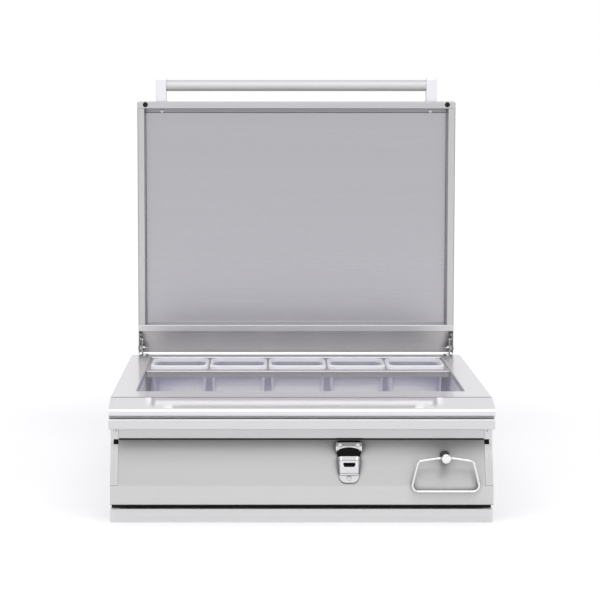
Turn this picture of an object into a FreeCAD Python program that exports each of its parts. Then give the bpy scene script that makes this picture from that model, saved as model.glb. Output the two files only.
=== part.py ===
import FreeCAD, Part
import math
import os

# Insulated bar ice bin with a hinged lid, a lift-out condiment rack and a
# sloped front that carries a bottle opener and a towel ring.
#
# Frame: X to the right, -Y to the front, Z up.  The origin is the middle of the
# base pan's underside.  Most places are given as a depth, the distance behind
# the foremost line of the front rail; at() turns a depth into Y.
# The lid is built standing open.  Its own sizes are "up" (distance from the
# hinge pin towards the handle) and "back" (distance behind the hinge pin).

Vector = FreeCAD.Vector
X_AXIS = Vector(1, 0, 0)
Y_AXIS = Vector(0, 1, 0)
Z_AXIS = Vector(0, 0, 1)
SIDES = (("left", -1), ("right", 1))

# ---------------------------------------------------------------- driving sizes
UNIT_WIDTH = 762.0          # across the deck, the front rail and the lower band
SHEET = 1.2                 # steel of the deck, the front and the lid
INNER_SHEET = 1.0           # steel of the bin, the casing and the lid's inner panel
FOLD_RADIUS = 2.0           # outside radius of the folds that show
TIGHT_FOLD = 0.5            # inside radius of the small hidden folds
SEAM_BEND = 0.2             # inside radius of the two folds at the seam
RUNNING_CLEARANCE = 0.05    # radial room of a pin or screw in its hole
LOOSE_CLEARANCE = 0.3       # room between pieces that pass each other

DECK_HEIGHT = 248.0         # top of the deck above the floor
DECK_LENGTH = 590.0         # from the seam behind the front rail to the rear edge
DECK_CORNER = 6.0           # plan radius of the rear corners
SIDE_OVERHANG = 17.0        # deck past the base pan, each side
REAR_OVERHANG = 10.0        # deck past the base pan at the rear
DECK_FRONT_FLANGE = 18.0    # height of the flange under the seam

OPENING_MARGIN = 47.0       # deck left and right of the opening
OPENING_FRONT_MARGIN = 71.0  # deck between the seam and the opening
OPENING_REAR_MARGIN = 40.0  # deck between the opening and the rear edge
OPENING_CORNER = 6.0        # plan radius of the opening's corners
OPENING_LIP = 12.0          # height of the opening's down-turned lip

RAIL_DEPTH = 53.0           # from the nose to the seam
RAIL_SLOPE = 17.3           # fall of the rail's top face, degrees
NOSE_RADIUS = 9.0
NOSE_RETURN = 14.0          # depth of the turned-under nose
RAIL_SEAT = 34.0            # depth of the rail's rear foot on the apron
GROOVE_HEIGHT = 3.5         # shadow groove between the nose and the apron

APRON_HEIGHT = 20.4
APRON_SETBACK = 38.0        # from the apron's face to the upper front channel
UPPER_CHANNEL_SHOW = 25.0   # height of the channel seen under the apron
PANEL_GAP = 2.0             # dark line between the channel and the sloped panel
PANEL_HEAD_SETBACK = 39.0   # depth of the sloped panel's top edge
BAND_SETBACK = 9.0          # depth of the lower band
PANEL_HEIGHT = 86.4         # rise of the sloped panel over the lower band
BAND_BOTTOM = 39.0          # lower band's bottom edge above the floor
BAND_END_GAP = 1.0          # lower band and side stiles stop short of the deck's ends
STILE_RETURN = 14.0         # how far the stiles' edges are folded back
STILE_NOTCH = 10.0          # square notch at the head of each stile
TRIM_SETBACK = 27.0
TRIM_HEIGHT = 28.0
TRIM_RETURN = 28.0
TRIM_CAP = 13.0             # width of the end caps folded onto the trim's face
TRIM_CAP_SHEET = 0.8
TOE_SEAL_SETBACK = 10.0     # rubber strip behind the trim's face
SEAL_THICKNESS = 7.0        # depth of the rubber strips
STILE_SEAL_DROP = 6.0       # stiles' rubber strips below the notches

PAN_FLANGE = 26.0           # upturned edge of the base pan
CASING_SETBACK = 80.0       # depth of the casing's front wall
BIN_DEPTH = 203.0           # from the deck's top to the bin's floor
BIN_FLOOR_RADIUS = 12.0     # inside radius round the bin's floor
BIN_FLANGE = 8.0            # bin's flange under the deck
FOAM_TOP_GAP = 7.0          # foam stops below the deck, clear of the screws
FOAM_FIT = 0.2              # room between the foam and the metal round it

DRAIN_INSET = 154.0         # drain's centre from the opening's left edge
DRAIN_SETBACK = 250.0
DRAIN_BORE_RADIUS = 13.0
DRAIN_WALL = 3.7            # nipple's wall over its thread
DRAIN_FLANGE_RADIUS = 30.0
DRAIN_FLANGE_THICKNESS = 3.0
DRAIN_TAIL_HEIGHT = 3.0     # nipple's end above the floor
DRAIN_SHAFT_RADIUS = 46.0   # free space through foam, casing and pan
GASKET_THICKNESS = 3.0
LOCKNUT_THICKNESS = 8.0
LOCKNUT_RADIUS = 27.0
STRAINER_THICKNESS = 1.5
STRAINER_RADIUS = 24.0
STRAINER_HOLE_RADIUS = 2.2
STRAINER_SEAT_DEPTH = 1.5
STRAINER_HOLE_PITCH = 8.0   # between the strainer's rings of holes
DRAIN_EDGE_RADIUS = 1.8     # round edge of the drain's flange

RACK_SHEET = 1.5
RACK_DROP = 2.0             # rack's top below the deck's top
RACK_END_GAP = 3.0          # room between the rack and the opening
RACK_LENGTH = 195.0         # front to rear
RACK_FLANGE = 13.8          # rack's down-turned front and rear edges
RACK_CORNER = 4.0
LEDGE_WIDTH = 9.0
LEDGE_HEIGHT = 10.0
CONTAINER_COUNT = 5
RACK_SIDE_MARGIN = 4.75     # rack beyond the outer containers' pitch
RIM_GAP = 4.5               # between neighbouring rims
RIM_SETBACK = 15.0          # rack's front edge to the rims
RIM_LENGTH = 120.0
RIM_HEIGHT = 9.5
RIM_OVERLAP = 3.5           # rim past the container's body, all round
RIM_CORNER = 22.0
RIM_EDGE_RADIUS = 3.5
CONTAINER_WALL = 2.0
CONTAINER_DEPTH = 97.5
CONTAINER_DRAFT = 2.5       # lean of the container's walls, degrees
CONTAINER_FLOOR_RADIUS = 3.5
CONTAINER_FIT = 1.0         # room round a container in the rack

LID_SIDE_MARGIN = 17.0      # deck beside the closed lid
LID_REACH = 569.4           # hinge pin to the lid's front wall
LID_TAIL = 14.0             # skin past the hinge pin
LID_THICKNESS = 43.5
LID_CORNER = 5.0
LID_EDGE_RADIUS = 3.0
LID_DECK_GAP = 5.0          # closed lid's rim above the deck
PIVOT_RISE = 16.0           # hinge pin above the deck
PIVOT_INSET = 6.0           # hinge pin in front of the deck's rear edge
RIM_FACE = 14.5             # width of the lid's inner frame
LID_RECESS = 33.0           # rim to the lid's inner panel
REAR_RAIL_START = 40.5      # hinge pin to the rear rail
HEM_WIDTH = 12.0
HEM_EDGE_RADIUS = 1.0
BUMPER_RADIUS = 5.0
BUMPER_INSET = 18.6         # bumper's centre from the lid's side
BUMPER_SETBACK = 7.0        # bumper's centre from the lid's front wall

HANDLE_POST_WIDTH = 24.0
HANDLE_POST_THICKNESS = 28.0
HANDLE_POST_HEIGHT = 53.0
HANDLE_POST_INSET = 54.6    # post's centre from the lid's side
HANDLE_POST_RADIUS = 3.0
HANDLE_TUBE_RADIUS = 12.7
HANDLE_TUBE_WALL = 1.5
HANDLE_TUBE_DROP = 16.3     # tube's centre below the posts' ends

PIN_RADIUS = 3.0
EAR_THICKNESS = 2.5
EAR_INSET = 7.0             # ear's outer face inside the lid's outer face
EAR_RADIUS = 10.0           # half the ear's width
EAR_HEIGHT = 26.0           # ear's top above the hinge pin
FOOT_WIDTH = 15.0
FOOT_LENGTH = 41.0
FOOT_THICKNESS = 2.0
FOOT_TOE = 4.0              # foot behind the hinge pin
FOOT_SCREW_REAR = 10.0      # rear foot screw in front of the hinge pin
FOOT_SCREW_PITCH = 18.0
LEAF_THICKNESS = 2.0
LEAF_LENGTH = 46.0
LEAF_RADIUS = 10.0
LEAF_SHIFT = 4.0            # leaf's middle behind the hinge pin
LEAF_RIVET_START = 20.0     # hinge pin to the first rivet
LEAF_RIVET_PITCH = 11.0
NUT_THICKNESS = 4.0
NUT_RADIUS = 5.4
PIN_TAIL = 5.0              # pin past its nut
BUSH_RADIUS = 5.5
PIN_HEAD_HEIGHT = 1.4
PIN_HEAD_RADIUS = 6.0

SCREW_RADIUS = 2.0
SCREW_HEAD_RADIUS = 4.2
SCREW_HEAD_HEIGHT = 2.2
SCREW_LENGTH = 6.0
SCREW_BEVEL = 0.9           # bevel round a screw's head
STILE_SCREW_DROP = 8.0      # stile screws under the apron
LINER_SCREW_INSET = 6.0     # liner screws from the lid's front rail
HANDLE_SCREW_SHIFT = 2.0    # handle screws behind the posts' middle

OPENER_SIDE = 94.1          # right of the middle
OPENER_DROP = 43.4          # opener's middle below the panel's head, along the panel
OPENER_WIDTH = 52.0         # across the head
OPENER_HEAD = 41.0          # above the opener's middle
OPENER_TAIL = 43.0          # below it
OPENER_WAIST = 45.0         # plate's width beside the hood's mouth
OPENER_TAB = 37.0           # plate's width at the tail
OPENER_PLATE = 3.0
OPENER_CORNER = 9.0         # corner radius of the head
OPENER_TAIL_RADIUS = 13.0
OPENER_NECK = 8.0           # height over which the head narrows to the waist
HOOD_REACH = 20.0           # hood's mouth off the panel
HOOD_WIDTH = 43.5
HOOD_WALL = 3.0
HOOD_TOP = 7.0
HOOD_BOTTOM = -28.0
HOOD_NARROWING = 0.89       # hood's lower end against its mouth, across
HOOD_LOW_REACH = 0.34       # hood's lower end against its mouth, outwards
HOOD_MID_REACH = 0.88       # hood's middle against its mouth, outwards
HOOD_SHOULDER = 0.55        # hood's corner radius against its reach
HOOD_WINDOW_WIDTH = 27.6
HOOD_WINDOW_FOOT = 20.0     # window's width along its lower edge
HOOD_WINDOW_HEIGHT = 8.0
HOOD_WINDOW_DROP = 12.6     # hood's mouth to the window
HOOD_WINDOW_CORNER = 2.5
HEAD_REACH = 8.0            # prising head off the panel
HEAD_SILL = 20.3            # lower edge of the prising head, at its sides
HEAD_BEVEL = 5.0            # bevel along the head's upper edge
ARCH_RISE = 6.4             # arched lower edge of the prising head
ARCH_SHOULDER = 2.0         # flat foot beside the arch
OPENER_SCREW_UP = 31.0
OPENER_SCREW_SPREAD = 17.6
OPENER_SCREW_DOWN = 34.5

RING_INSET = 96.3           # ring's middle from the deck's right end
RING_SETBACK = 2.0          # depth of the ring's plane
RING_BELOW_HEAD = 30.5      # ring's top bar below the sloped panel's head
RING_FALL = 66.5            # top bar to bottom bar
RING_STRAIGHT = 14.0        # half the level part of the top bar
RING_ROOF = 6.0             # fall of the top bar towards its ends
RING_CROWN_RADIUS = 30.0
RING_TOP_WIDTH = 109.0
RING_BOTTOM_WIDTH = 138.0
RING_WIRE_RADIUS = 2.25
RING_TOP_RADIUS = 9.0
RING_BOTTOM_RADIUS = 12.0
POST_RADIUS = 6.0
POST_CAP_RADIUS = 10.0
POST_CAP_THICKNESS = 6.0
POST_CAP_GAP = 5.0          # ring's plane to the cap's rear face
ROSETTE_RADIUS = 9.0
ROSETTE_THICKNESS = 3.5
ROSETTE_EDGE_RADIUS = 2.0
POST_CAP_EDGE_RADIUS = 5.0

# --------------------------------------------------------------- derived places
HALF_WIDTH = UNIT_WIDTH / 2
SEAM = RAIL_DEPTH
DECK_REAR = SEAM + DECK_LENGTH
PAN_REAR = DECK_REAR - REAR_OVERHANG
PAN_HALF = HALF_WIDTH - SIDE_OVERHANG
CENTRE_DEPTH = (TRIM_SETBACK + PAN_REAR) / 2
CASING_HALF = PAN_HALF - SHEET
CASING_REAR = PAN_REAR - SHEET
DECK_UNDERSIDE = DECK_HEIGHT - SHEET

OPENING_HALF = HALF_WIDTH - OPENING_MARGIN
OPENING_FRONT = SEAM + OPENING_FRONT_MARGIN
OPENING_REAR = DECK_REAR - OPENING_REAR_MARGIN

SLOPE = math.radians(RAIL_SLOPE)
RAIL_FRONT_HEIGHT = DECK_HEIGHT - RAIL_DEPTH * math.tan(SLOPE)
NOSE_BOTTOM = RAIL_FRONT_HEIGHT - NOSE_RADIUS * (1 + math.tan((math.pi / 2 - SLOPE) / 2))
APRON_TOP = NOSE_BOTTOM - GROOVE_HEIGHT
APRON_BOTTOM = APRON_TOP - APRON_HEIGHT
CHANNEL_TOP = DECK_HEIGHT - DECK_FRONT_FLANGE
CHANNEL_BOTTOM = APRON_BOTTOM - UPPER_CHANNEL_SHOW
PANEL_TOP = CHANNEL_BOTTOM - PANEL_GAP
FRONT_HALF = HALF_WIDTH - BAND_END_GAP

PANEL_RUN = PANEL_HEAD_SETBACK - BAND_SETBACK
BAND_TOP = PANEL_TOP - PANEL_HEIGHT
PANEL_LENGTH = math.hypot(PANEL_RUN, PANEL_HEIGHT)
OPENER_UP = PANEL_LENGTH - OPENER_DROP
RING_SIDE = HALF_WIDTH - RING_INSET
RING_HEIGHT = PANEL_TOP - RING_BELOW_HEAD

BIN_HALF = OPENING_HALF + SHEET
BIN_FRONT = OPENING_FRONT - SHEET
BIN_REAR = OPENING_REAR + SHEET
BIN_CORNER = OPENING_CORNER + SHEET
BIN_FLOOR = DECK_HEIGHT - BIN_DEPTH
BIN_UNDERSIDE = BIN_FLOOR - INNER_SHEET
CASING_FLOOR = SHEET + INNER_SHEET
NIPPLE_RADIUS = DRAIN_BORE_RADIUS + DRAIN_WALL
DRAIN_SIDE = DRAIN_INSET - OPENING_HALF

RACK_TOP = DECK_HEIGHT - RACK_DROP
RACK_UNDERSIDE = RACK_TOP - RACK_SHEET
RACK_HALF = OPENING_HALF - RACK_END_GAP
RACK_REAR = OPENING_REAR - RACK_END_GAP
RACK_FRONT = RACK_REAR - RACK_LENGTH
RIM_FRONT = RACK_FRONT + RIM_SETBACK
CONTAINER_MIDDLE = RIM_FRONT + RIM_LENGTH / 2
CONTAINER_PITCH = 2 * (RACK_HALF - RACK_SIDE_MARGIN) / CONTAINER_COUNT
RIM_WIDTH = CONTAINER_PITCH - RIM_GAP
BODY_WIDTH = RIM_WIDTH - 2 * RIM_OVERLAP
BODY_LENGTH = RIM_LENGTH - 2 * RIM_OVERLAP
BODY_CORNER = RIM_CORNER - RIM_OVERLAP

PIVOT_DEPTH = DECK_REAR - PIVOT_INSET
PIVOT_HEIGHT = DECK_HEIGHT + PIVOT_RISE
LID_HALF = HALF_WIDTH - LID_SIDE_MARGIN
LID_INSIDE = LID_HALF - SHEET
RIM_BACK = LID_DECK_GAP - PIVOT_RISE
SKIN_BACK = RIM_BACK + LID_THICKNESS
PANEL_BACK = RIM_BACK + LID_RECESS
FRONT_WALL = LID_REACH - SHEET
FRONT_RAIL_START = FRONT_WALL - RIM_FACE
REAR_RAIL_END = REAR_RAIL_START + RIM_FACE
POST_SIDE = LID_HALF - HANDLE_POST_INSET
POST_BACK = RIM_BACK + LID_THICKNESS / 2
TUBE_UP = LID_REACH + HANDLE_POST_HEIGHT - HANDLE_TUBE_DROP
EAR_OUTSIDE = LID_HALF - EAR_INSET
EAR_INSIDE = EAR_OUTSIDE - EAR_THICKNESS
FOOT_MIDDLE = EAR_OUTSIDE - FOOT_WIDTH / 2
LEAF_SIDE = LID_INSIDE - LEAF_THICKNESS


# -------------------------------------------------------------------- geometry
def at(x, depth, z):
    """The point at a side position, a depth behind the nose and a height."""
    return Vector(x, depth - CENTRE_DEPTH, z)


def on_lid(x, up, back):
    """The point at a distance up the open lid and behind its hinge pin."""
    return at(x, PIVOT_DEPTH + back, PIVOT_HEIGHT + up)


def block(x0, x1, depth0, depth1, z0, z1):
    """A plain rectangular solid between two side positions, depths and heights."""
    corner = at(x0, depth0, z0)
    return Part.makeBox(x1 - x0, depth1 - depth0, z1 - z0, corner)


def lid_block(x0, x1, up0, up1, back0, back1):
    """A rectangular solid in the lid's own sizes."""
    return block(x0, x1, PIVOT_DEPTH + back0, PIVOT_DEPTH + back1,
                 PIVOT_HEIGHT + up0, PIVOT_HEIGHT + up1)


def rounded_corner(before, corner, after, radius):
    """Start, middle and end of the arc that rounds one corner of an outline."""
    if radius <= 0:
        return corner, None, corner
    towards_before = (before - corner).normalize()
    towards_after = (after - corner).normalize()
    half_angle = towards_before.getAngle(towards_after) / 2
    reach = radius / math.tan(half_angle)
    bisector = (towards_before + towards_after).normalize()
    middle = corner + bisector * (radius / math.sin(half_angle) - radius)
    return corner + towards_before * reach, middle, corner + towards_after * reach


def outline(corners):
    """A closed wire through (point, radius) corners, in order."""
    arcs = []
    for index, (corner, radius) in enumerate(corners):
        before = corners[index - 1][0]
        after = corners[(index + 1) % len(corners)][0]
        arcs.append(rounded_corner(before, corner, after, radius))
    edges = []
    for index, (start, middle, end) in enumerate(arcs):
        if middle is not None:
            edges.append(Part.Arc(start, middle, end).toShape())
        following = arcs[(index + 1) % len(arcs)][0]
        if end.distanceToPoint(following) > 1e-5:
            edges.append(Part.makeLine(end, following))
    return Part.Wire(Part.__sortEdges__(edges))


def prism(corners, direction):
    """The solid swept by an outline of (point, radius) corners."""
    return Part.Face(outline(corners)).extrude(direction)


def rounded_block(x0, x1, depth0, depth1, z0, z1, front_radius, rear_radius):
    """A rectangular solid whose upright corners are rounded."""
    corners = [(at(x0, depth0, z0), front_radius), (at(x1, depth0, z0), front_radius),
               (at(x1, depth1, z0), rear_radius), (at(x0, depth1, z0), rear_radius)]
    return prism(corners, Z_AXIS * (z1 - z0))


def section(points, x0, x1):
    """A (depth, height, radius) section run from one side position to another."""
    corners = [(at(x0, depth, z), radius) for depth, z, radius in points]
    return prism(corners, X_AXIS * (x1 - x0))


def folded_sheet(path, thickness, x0, x1):
    """Sheet along a (depth, height, inside radius) path, its steel on the path's left."""
    directions = []
    for start, end in zip(path, path[1:]):
        run, rise = end[0] - start[0], end[1] - start[1]
        length = math.hypot(run, rise)
        directions.append((run / length, rise / length))
    near_side = []
    far_side = []
    for index, (depth, z, radius) in enumerate(path):
        ahead = directions[min(index, len(directions) - 1)]
        behind = directions[max(index - 1, 0)]
        turn = behind[0] * ahead[1] - behind[1] * ahead[0]
        along = 1 + behind[0] * ahead[0] + behind[1] * ahead[1]
        normal = (-(behind[1] + ahead[1]) / along, (behind[0] + ahead[0]) / along)
        is_end = index in (0, len(path) - 1)
        near_radius = 0 if is_end else radius + (thickness if turn > 0 else 0)
        far_radius = 0 if is_end else radius + (0 if turn > 0 else thickness)
        near_side.append((depth, z, near_radius))
        far_side.append((depth + normal[0] * thickness, z + normal[1] * thickness, far_radius))
    return section(near_side + far_side[::-1], x0, x1)


def cylinder(radius, start, end):
    """A round bar from one point to another."""
    axis = end - start
    return Part.makeCylinder(radius, axis.Length, start, axis)


def ring(outer, inner, start, end):
    """A round tube from one point to another."""
    return cylinder(outer, start, end).cut(cylinder(inner, start, end))


def fused(shapes):
    """One solid from shapes that touch."""
    whole = shapes[0].multiFuse(shapes[1:]) if len(shapes) > 1 else shapes[0]
    return whole.removeSplitter()


def mirrored(shape):
    """The same piece on the other side of the unit."""
    return shape.mirror(Vector(0, 0, 0), X_AXIS)


def edges_where(shape, test):
    """The edges whose bounding box passes a test."""
    return [edge for edge in shape.Edges if test(edge.BoundBox)]


def soften(shape, radius, test):
    """Round the edges that pass a test."""
    return shape.makeFillet(radius, edges_where(shape, test))


def near(value, target):
    """Whether two lengths are the same."""
    return abs(value - target) < 1e-3


def screw(seat, direction, length):
    """A pan-head screw whose head bears on seat and whose shank runs along direction."""
    shoulder = SCREW_HEAD_HEIGHT - SCREW_BEVEL
    head = cylinder(SCREW_HEAD_RADIUS, seat - direction * shoulder, seat)
    crown = Part.makeCone(SCREW_HEAD_RADIUS, SCREW_HEAD_RADIUS - SCREW_BEVEL, SCREW_BEVEL,
                          seat - direction * shoulder, -direction)
    return fused([head, crown, cylinder(SCREW_RADIUS, seat, seat + direction * length)])


def screw_hole(seat, direction, length):
    """The clearance hole for one screw's shank."""
    margin = direction * LOOSE_CLEARANCE
    return cylinder(SCREW_RADIUS + RUNNING_CLEARANCE, seat - margin, seat + direction * length)


def drilled(shape, seats, direction, length):
    """A shape with a clearance hole behind each screw seat."""
    for seat in seats:
        shape = shape.cut(screw_hole(seat, direction, length))
    return shape


PARTS = {}


def keep(name, shape):
    """Put a finished piece in the list that is written at the end."""
    PARTS[name] = shape


# -------------------------------------------------------- the sloped panel's face
PANEL_UPWARDS = Vector(0, PANEL_RUN / PANEL_LENGTH, PANEL_HEIGHT / PANEL_LENGTH)
PANEL_OUTWARDS = Vector(0, -PANEL_HEIGHT / PANEL_LENGTH, PANEL_RUN / PANEL_LENGTH)


def on_panel(x, up, out):
    """The point at a distance up the sloped panel's face and out from it."""
    return at(x, BAND_SETBACK, BAND_TOP) + PANEL_UPWARDS * up + PANEL_OUTWARDS * out


def panel_depth(z):
    """Depth of the sloped panel's face at a height."""
    return BAND_SETBACK + (z - BAND_TOP) * PANEL_RUN / PANEL_HEIGHT


OPENER_SEATS = [on_panel(OPENER_SIDE + spread, OPENER_UP + up, out)
                for spread, up, out in ((-OPENER_SCREW_SPREAD, OPENER_SCREW_UP, HEAD_REACH),
                                        (OPENER_SCREW_SPREAD, OPENER_SCREW_UP, HEAD_REACH),
                                        (0, -OPENER_SCREW_DOWN, OPENER_PLATE))]
OPENER_SCREW_LENGTH = HEAD_REACH + SHEET + 2.0

FOOT_SEATS = [at(side * FOOT_MIDDLE, PIVOT_DEPTH - along, DECK_HEIGHT + FOOT_THICKNESS)
              for name, side in SIDES
              for along in (FOOT_SCREW_REAR, FOOT_SCREW_REAR + FOOT_SCREW_PITCH)]


# ------------------------------------------------------------------ deck and rail
def make_top_deck():
    """The deck: one sheet with hemmed sides and rear and a lip down into the bin."""
    front = SEAM + FOLD_RADIUS
    sheet = rounded_block(-HALF_WIDTH, HALF_WIDTH, front, DECK_REAR,
                          DECK_UNDERSIDE - SHEET, DECK_HEIGHT, 0, DECK_CORNER)
    sheet = sheet.cut(block(-CASING_HALF, CASING_HALF, front, CASING_REAR,
                            DECK_UNDERSIDE - SHEET, DECK_UNDERSIDE))
    rear_y = DECK_REAR - CENTRE_DEPTH
    opening_y = OPENING_FRONT - CENTRE_DEPTH

    def hem_edge(box):
        level = near(box.ZMin, box.ZMax)
        layer = near(box.ZMin, DECK_HEIGHT) or near(box.ZMin, DECK_UNDERSIDE - SHEET)
        side = max(box.XMax, -box.XMin) > HALF_WIDTH - 1e-3 and box.XLength < HALF_WIDTH
        return level and layer and (side or box.YMax > rear_y - 1e-3)

    def opening_edge(box):
        inside = max(box.XMax, -box.XMin) < OPENING_HALF + 1e-3 and box.YMin > opening_y - 1e-3
        return near(box.ZMin, DECK_HEIGHT) and near(box.ZMax, DECK_HEIGHT) and inside

    sheet = soften(sheet, HEM_EDGE_RADIUS, hem_edge)
    lip = rounded_block(-BIN_HALF, BIN_HALF, BIN_FRONT, BIN_REAR,
                        DECK_HEIGHT - OPENING_LIP, DECK_HEIGHT, BIN_CORNER, BIN_CORNER)
    fold = folded_sheet([(front, DECK_HEIGHT, 0), (SEAM, DECK_HEIGHT, SEAM_BEND),
                         (SEAM, CHANNEL_TOP, 0)], SHEET, -HALF_WIDTH, HALF_WIDTH)
    opening = rounded_block(-OPENING_HALF, OPENING_HALF, OPENING_FRONT, OPENING_REAR,
                            DECK_HEIGHT - OPENING_LIP, DECK_HEIGHT,
                            OPENING_CORNER, OPENING_CORNER)
    deck = fused([sheet, lip]).cut(opening)
    deck = soften(deck, FOLD_RADIUS, opening_edge)
    return drilled(fused([deck, fold]), FOOT_SEATS, -Z_AXIS, SCREW_LENGTH + FOOT_THICKNESS)


def make_front_rail():
    """The rail in front of the deck: flat slope, round nose and a joggled foot below."""
    path = [(SEAM, CHANNEL_TOP, 0), (SEAM, DECK_HEIGHT, SEAM_BEND),
            (0, RAIL_FRONT_HEIGHT, NOSE_RADIUS - SHEET), (0, NOSE_BOTTOM, NOSE_RADIUS - SHEET),
            (NOSE_RETURN, NOSE_BOTTOM, TIGHT_FOLD), (NOSE_RETURN, APRON_TOP, TIGHT_FOLD),
            (RAIL_SEAT, APRON_TOP, 0)]
    end = [(SEAM, CHANNEL_TOP, 0), (SEAM, DECK_HEIGHT, SEAM_BEND + SHEET),
           (0, RAIL_FRONT_HEIGHT, NOSE_RADIUS), (0, NOSE_BOTTOM, NOSE_RADIUS),
           (RAIL_SEAT, NOSE_BOTTOM, 0)]
    rail = folded_sheet(path, SHEET, -HALF_WIDTH, HALF_WIDTH)
    left_end = section(end, -HALF_WIDTH, -HALF_WIDTH + SHEET)
    right_end = section(end, HALF_WIDTH - SHEET, HALF_WIDTH)
    return fused([rail, left_end, right_end])


def make_apron():
    """The upright band under the nose, a channel with closed ends."""
    inside_radius = FOLD_RADIUS - SHEET
    path = [(RAIL_SEAT, APRON_TOP, 0), (0, APRON_TOP, inside_radius),
            (0, APRON_BOTTOM, inside_radius), (APRON_SETBACK, APRON_BOTTOM, 0)]
    end = [(RAIL_SEAT, APRON_TOP, 0), (0, APRON_TOP, FOLD_RADIUS),
           (0, APRON_BOTTOM, FOLD_RADIUS), (RAIL_SEAT, APRON_BOTTOM, 0)]
    channel = folded_sheet(path, SHEET, -HALF_WIDTH, HALF_WIDTH)
    left_end = section(end, -HALF_WIDTH, -HALF_WIDTH + SHEET)
    right_end = section(end, HALF_WIDTH - SHEET, HALF_WIDTH)
    return fused([channel, left_end, right_end])


def make_upper_channel():
    """The channel behind the apron that ties the deck's front flange to the casing."""
    path = [(CASING_SETBACK, CHANNEL_TOP, 0), (APRON_SETBACK, CHANNEL_TOP, FOLD_RADIUS - SHEET),
            (APRON_SETBACK, CHANNEL_BOTTOM, FOLD_RADIUS - SHEET),
            (CASING_SETBACK, CHANNEL_BOTTOM, 0)]
    return folded_sheet(path, SHEET, -PAN_HALF, PAN_HALF)


def make_front_panel():
    """The sloped front panel with the upright lower band, one folded sheet."""
    inside_radius = FOLD_RADIUS - SHEET
    path = [(CASING_SETBACK, PANEL_TOP, 0), (PANEL_HEAD_SETBACK, PANEL_TOP, inside_radius),
            (BAND_SETBACK, BAND_TOP, inside_radius), (BAND_SETBACK, BAND_BOTTOM, inside_radius),
            (CASING_SETBACK, BAND_BOTTOM, 0)]
    ear = [(BAND_SETBACK + STILE_RETURN, BAND_TOP, 0), (BAND_SETBACK, BAND_TOP, TIGHT_FOLD),
           (BAND_SETBACK, BAND_BOTTOM, inside_radius),
           (BAND_SETBACK + STILE_RETURN, BAND_BOTTOM, 0)]
    close = [(BAND_SETBACK + STILE_RETURN, BAND_TOP, 0), (BAND_SETBACK, BAND_TOP, 0),
             (BAND_SETBACK, BAND_BOTTOM, FOLD_RADIUS),
             (BAND_SETBACK + STILE_RETURN, BAND_BOTTOM, 0)]
    pieces = [folded_sheet(path, SHEET, -PAN_HALF, PAN_HALF)]
    for name, side in SIDES:
        inner, outer = sorted((side * PAN_HALF, side * FRONT_HALF))
        pieces.append(folded_sheet(ear, SHEET, inner, outer))
        cap = sorted((side * (FRONT_HALF - SHEET), side * FRONT_HALF))
        pieces.append(section(close, cap[0], cap[1]))
    return drilled(fused(pieces), OPENER_SEATS, -PANEL_OUTWARDS, OPENER_SCREW_LENGTH)


def make_side_stile():
    """The right-hand strip beside the sloped panel, folded back along both edges."""
    knee = BAND_TOP + (APRON_SETBACK - BAND_SETBACK) * PANEL_HEIGHT / PANEL_RUN
    shape = [(APRON_SETBACK, APRON_BOTTOM, 0), (APRON_SETBACK, knee, 0),
             (BAND_SETBACK, BAND_TOP, 0), (BAND_SETBACK + STILE_RETURN, BAND_TOP, 0),
             (APRON_SETBACK + STILE_RETURN, knee, 0),
             (APRON_SETBACK + STILE_RETURN, APRON_BOTTOM, 0)]
    solid = section(shape, PAN_HALF, FRONT_HALF)
    hollow = [(depth + SHEET, z, radius) for depth, z, radius in shape]
    long_edges = [edge for edge in solid.Edges
                  if edge.BoundBox.ZLength > 1 and near(edge.BoundBox.XLength, 0)
                  and edge.BoundBox.YMin < APRON_SETBACK - CENTRE_DEPTH + 1e-3
                  and not near(edge.BoundBox.YMin, BAND_SETBACK + STILE_RETURN - CENTRE_DEPTH)]
    solid = solid.makeFillet(SHEET, long_edges)
    stile = solid.cut(section(hollow, PAN_HALF + SHEET, FRONT_HALF - SHEET))
    notch_top = CHANNEL_BOTTOM - SHEET
    notch = block(PAN_HALF, PAN_HALF + STILE_NOTCH, 0, APRON_SETBACK + STILE_RETURN,
                  notch_top - STILE_NOTCH, notch_top)
    stile = stile.cut(notch)
    return drilled(stile, STILE_SEATS[1:], Y_AXIS, SCREW_LENGTH)


def make_bottom_trim():
    """The band along the floor, folded back at the top and closed at the ends."""
    path = [(TRIM_SETBACK + TRIM_RETURN, TRIM_HEIGHT, 0),
            (TRIM_SETBACK, TRIM_HEIGHT, FOLD_RADIUS - SHEET), (TRIM_SETBACK, 0, 0)]
    end = [(TRIM_SETBACK + TRIM_RETURN, TRIM_HEIGHT, 0), (TRIM_SETBACK, TRIM_HEIGHT, FOLD_RADIUS),
           (TRIM_SETBACK, 0, 0), (TRIM_SETBACK + TRIM_RETURN, 0, 0)]
    pieces = [folded_sheet(path, SHEET, -HALF_WIDTH, HALF_WIDTH)]
    for name, side in SIDES:
        inner, outer = sorted((side * (HALF_WIDTH - SHEET), side * HALF_WIDTH))
        pieces.append(section(end, inner, outer))
        inner, outer = sorted((side * (HALF_WIDTH - TRIM_CAP), side * HALF_WIDTH))
        pieces.append(block(inner, outer, TRIM_SETBACK - TRIM_CAP_SHEET, TRIM_SETBACK,
                            0, TRIM_HEIGHT - FOLD_RADIUS))
    return fused(pieces)


def make_toe_seal():
    """The rubber strip between the trim's top and the lower band's underside."""
    front = TRIM_SETBACK + TOE_SEAL_SETBACK
    half = FRONT_HALF - SHEET
    return block(-half, half, front, front + SEAL_THICKNESS, TRIM_HEIGHT, BAND_BOTTOM)


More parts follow.
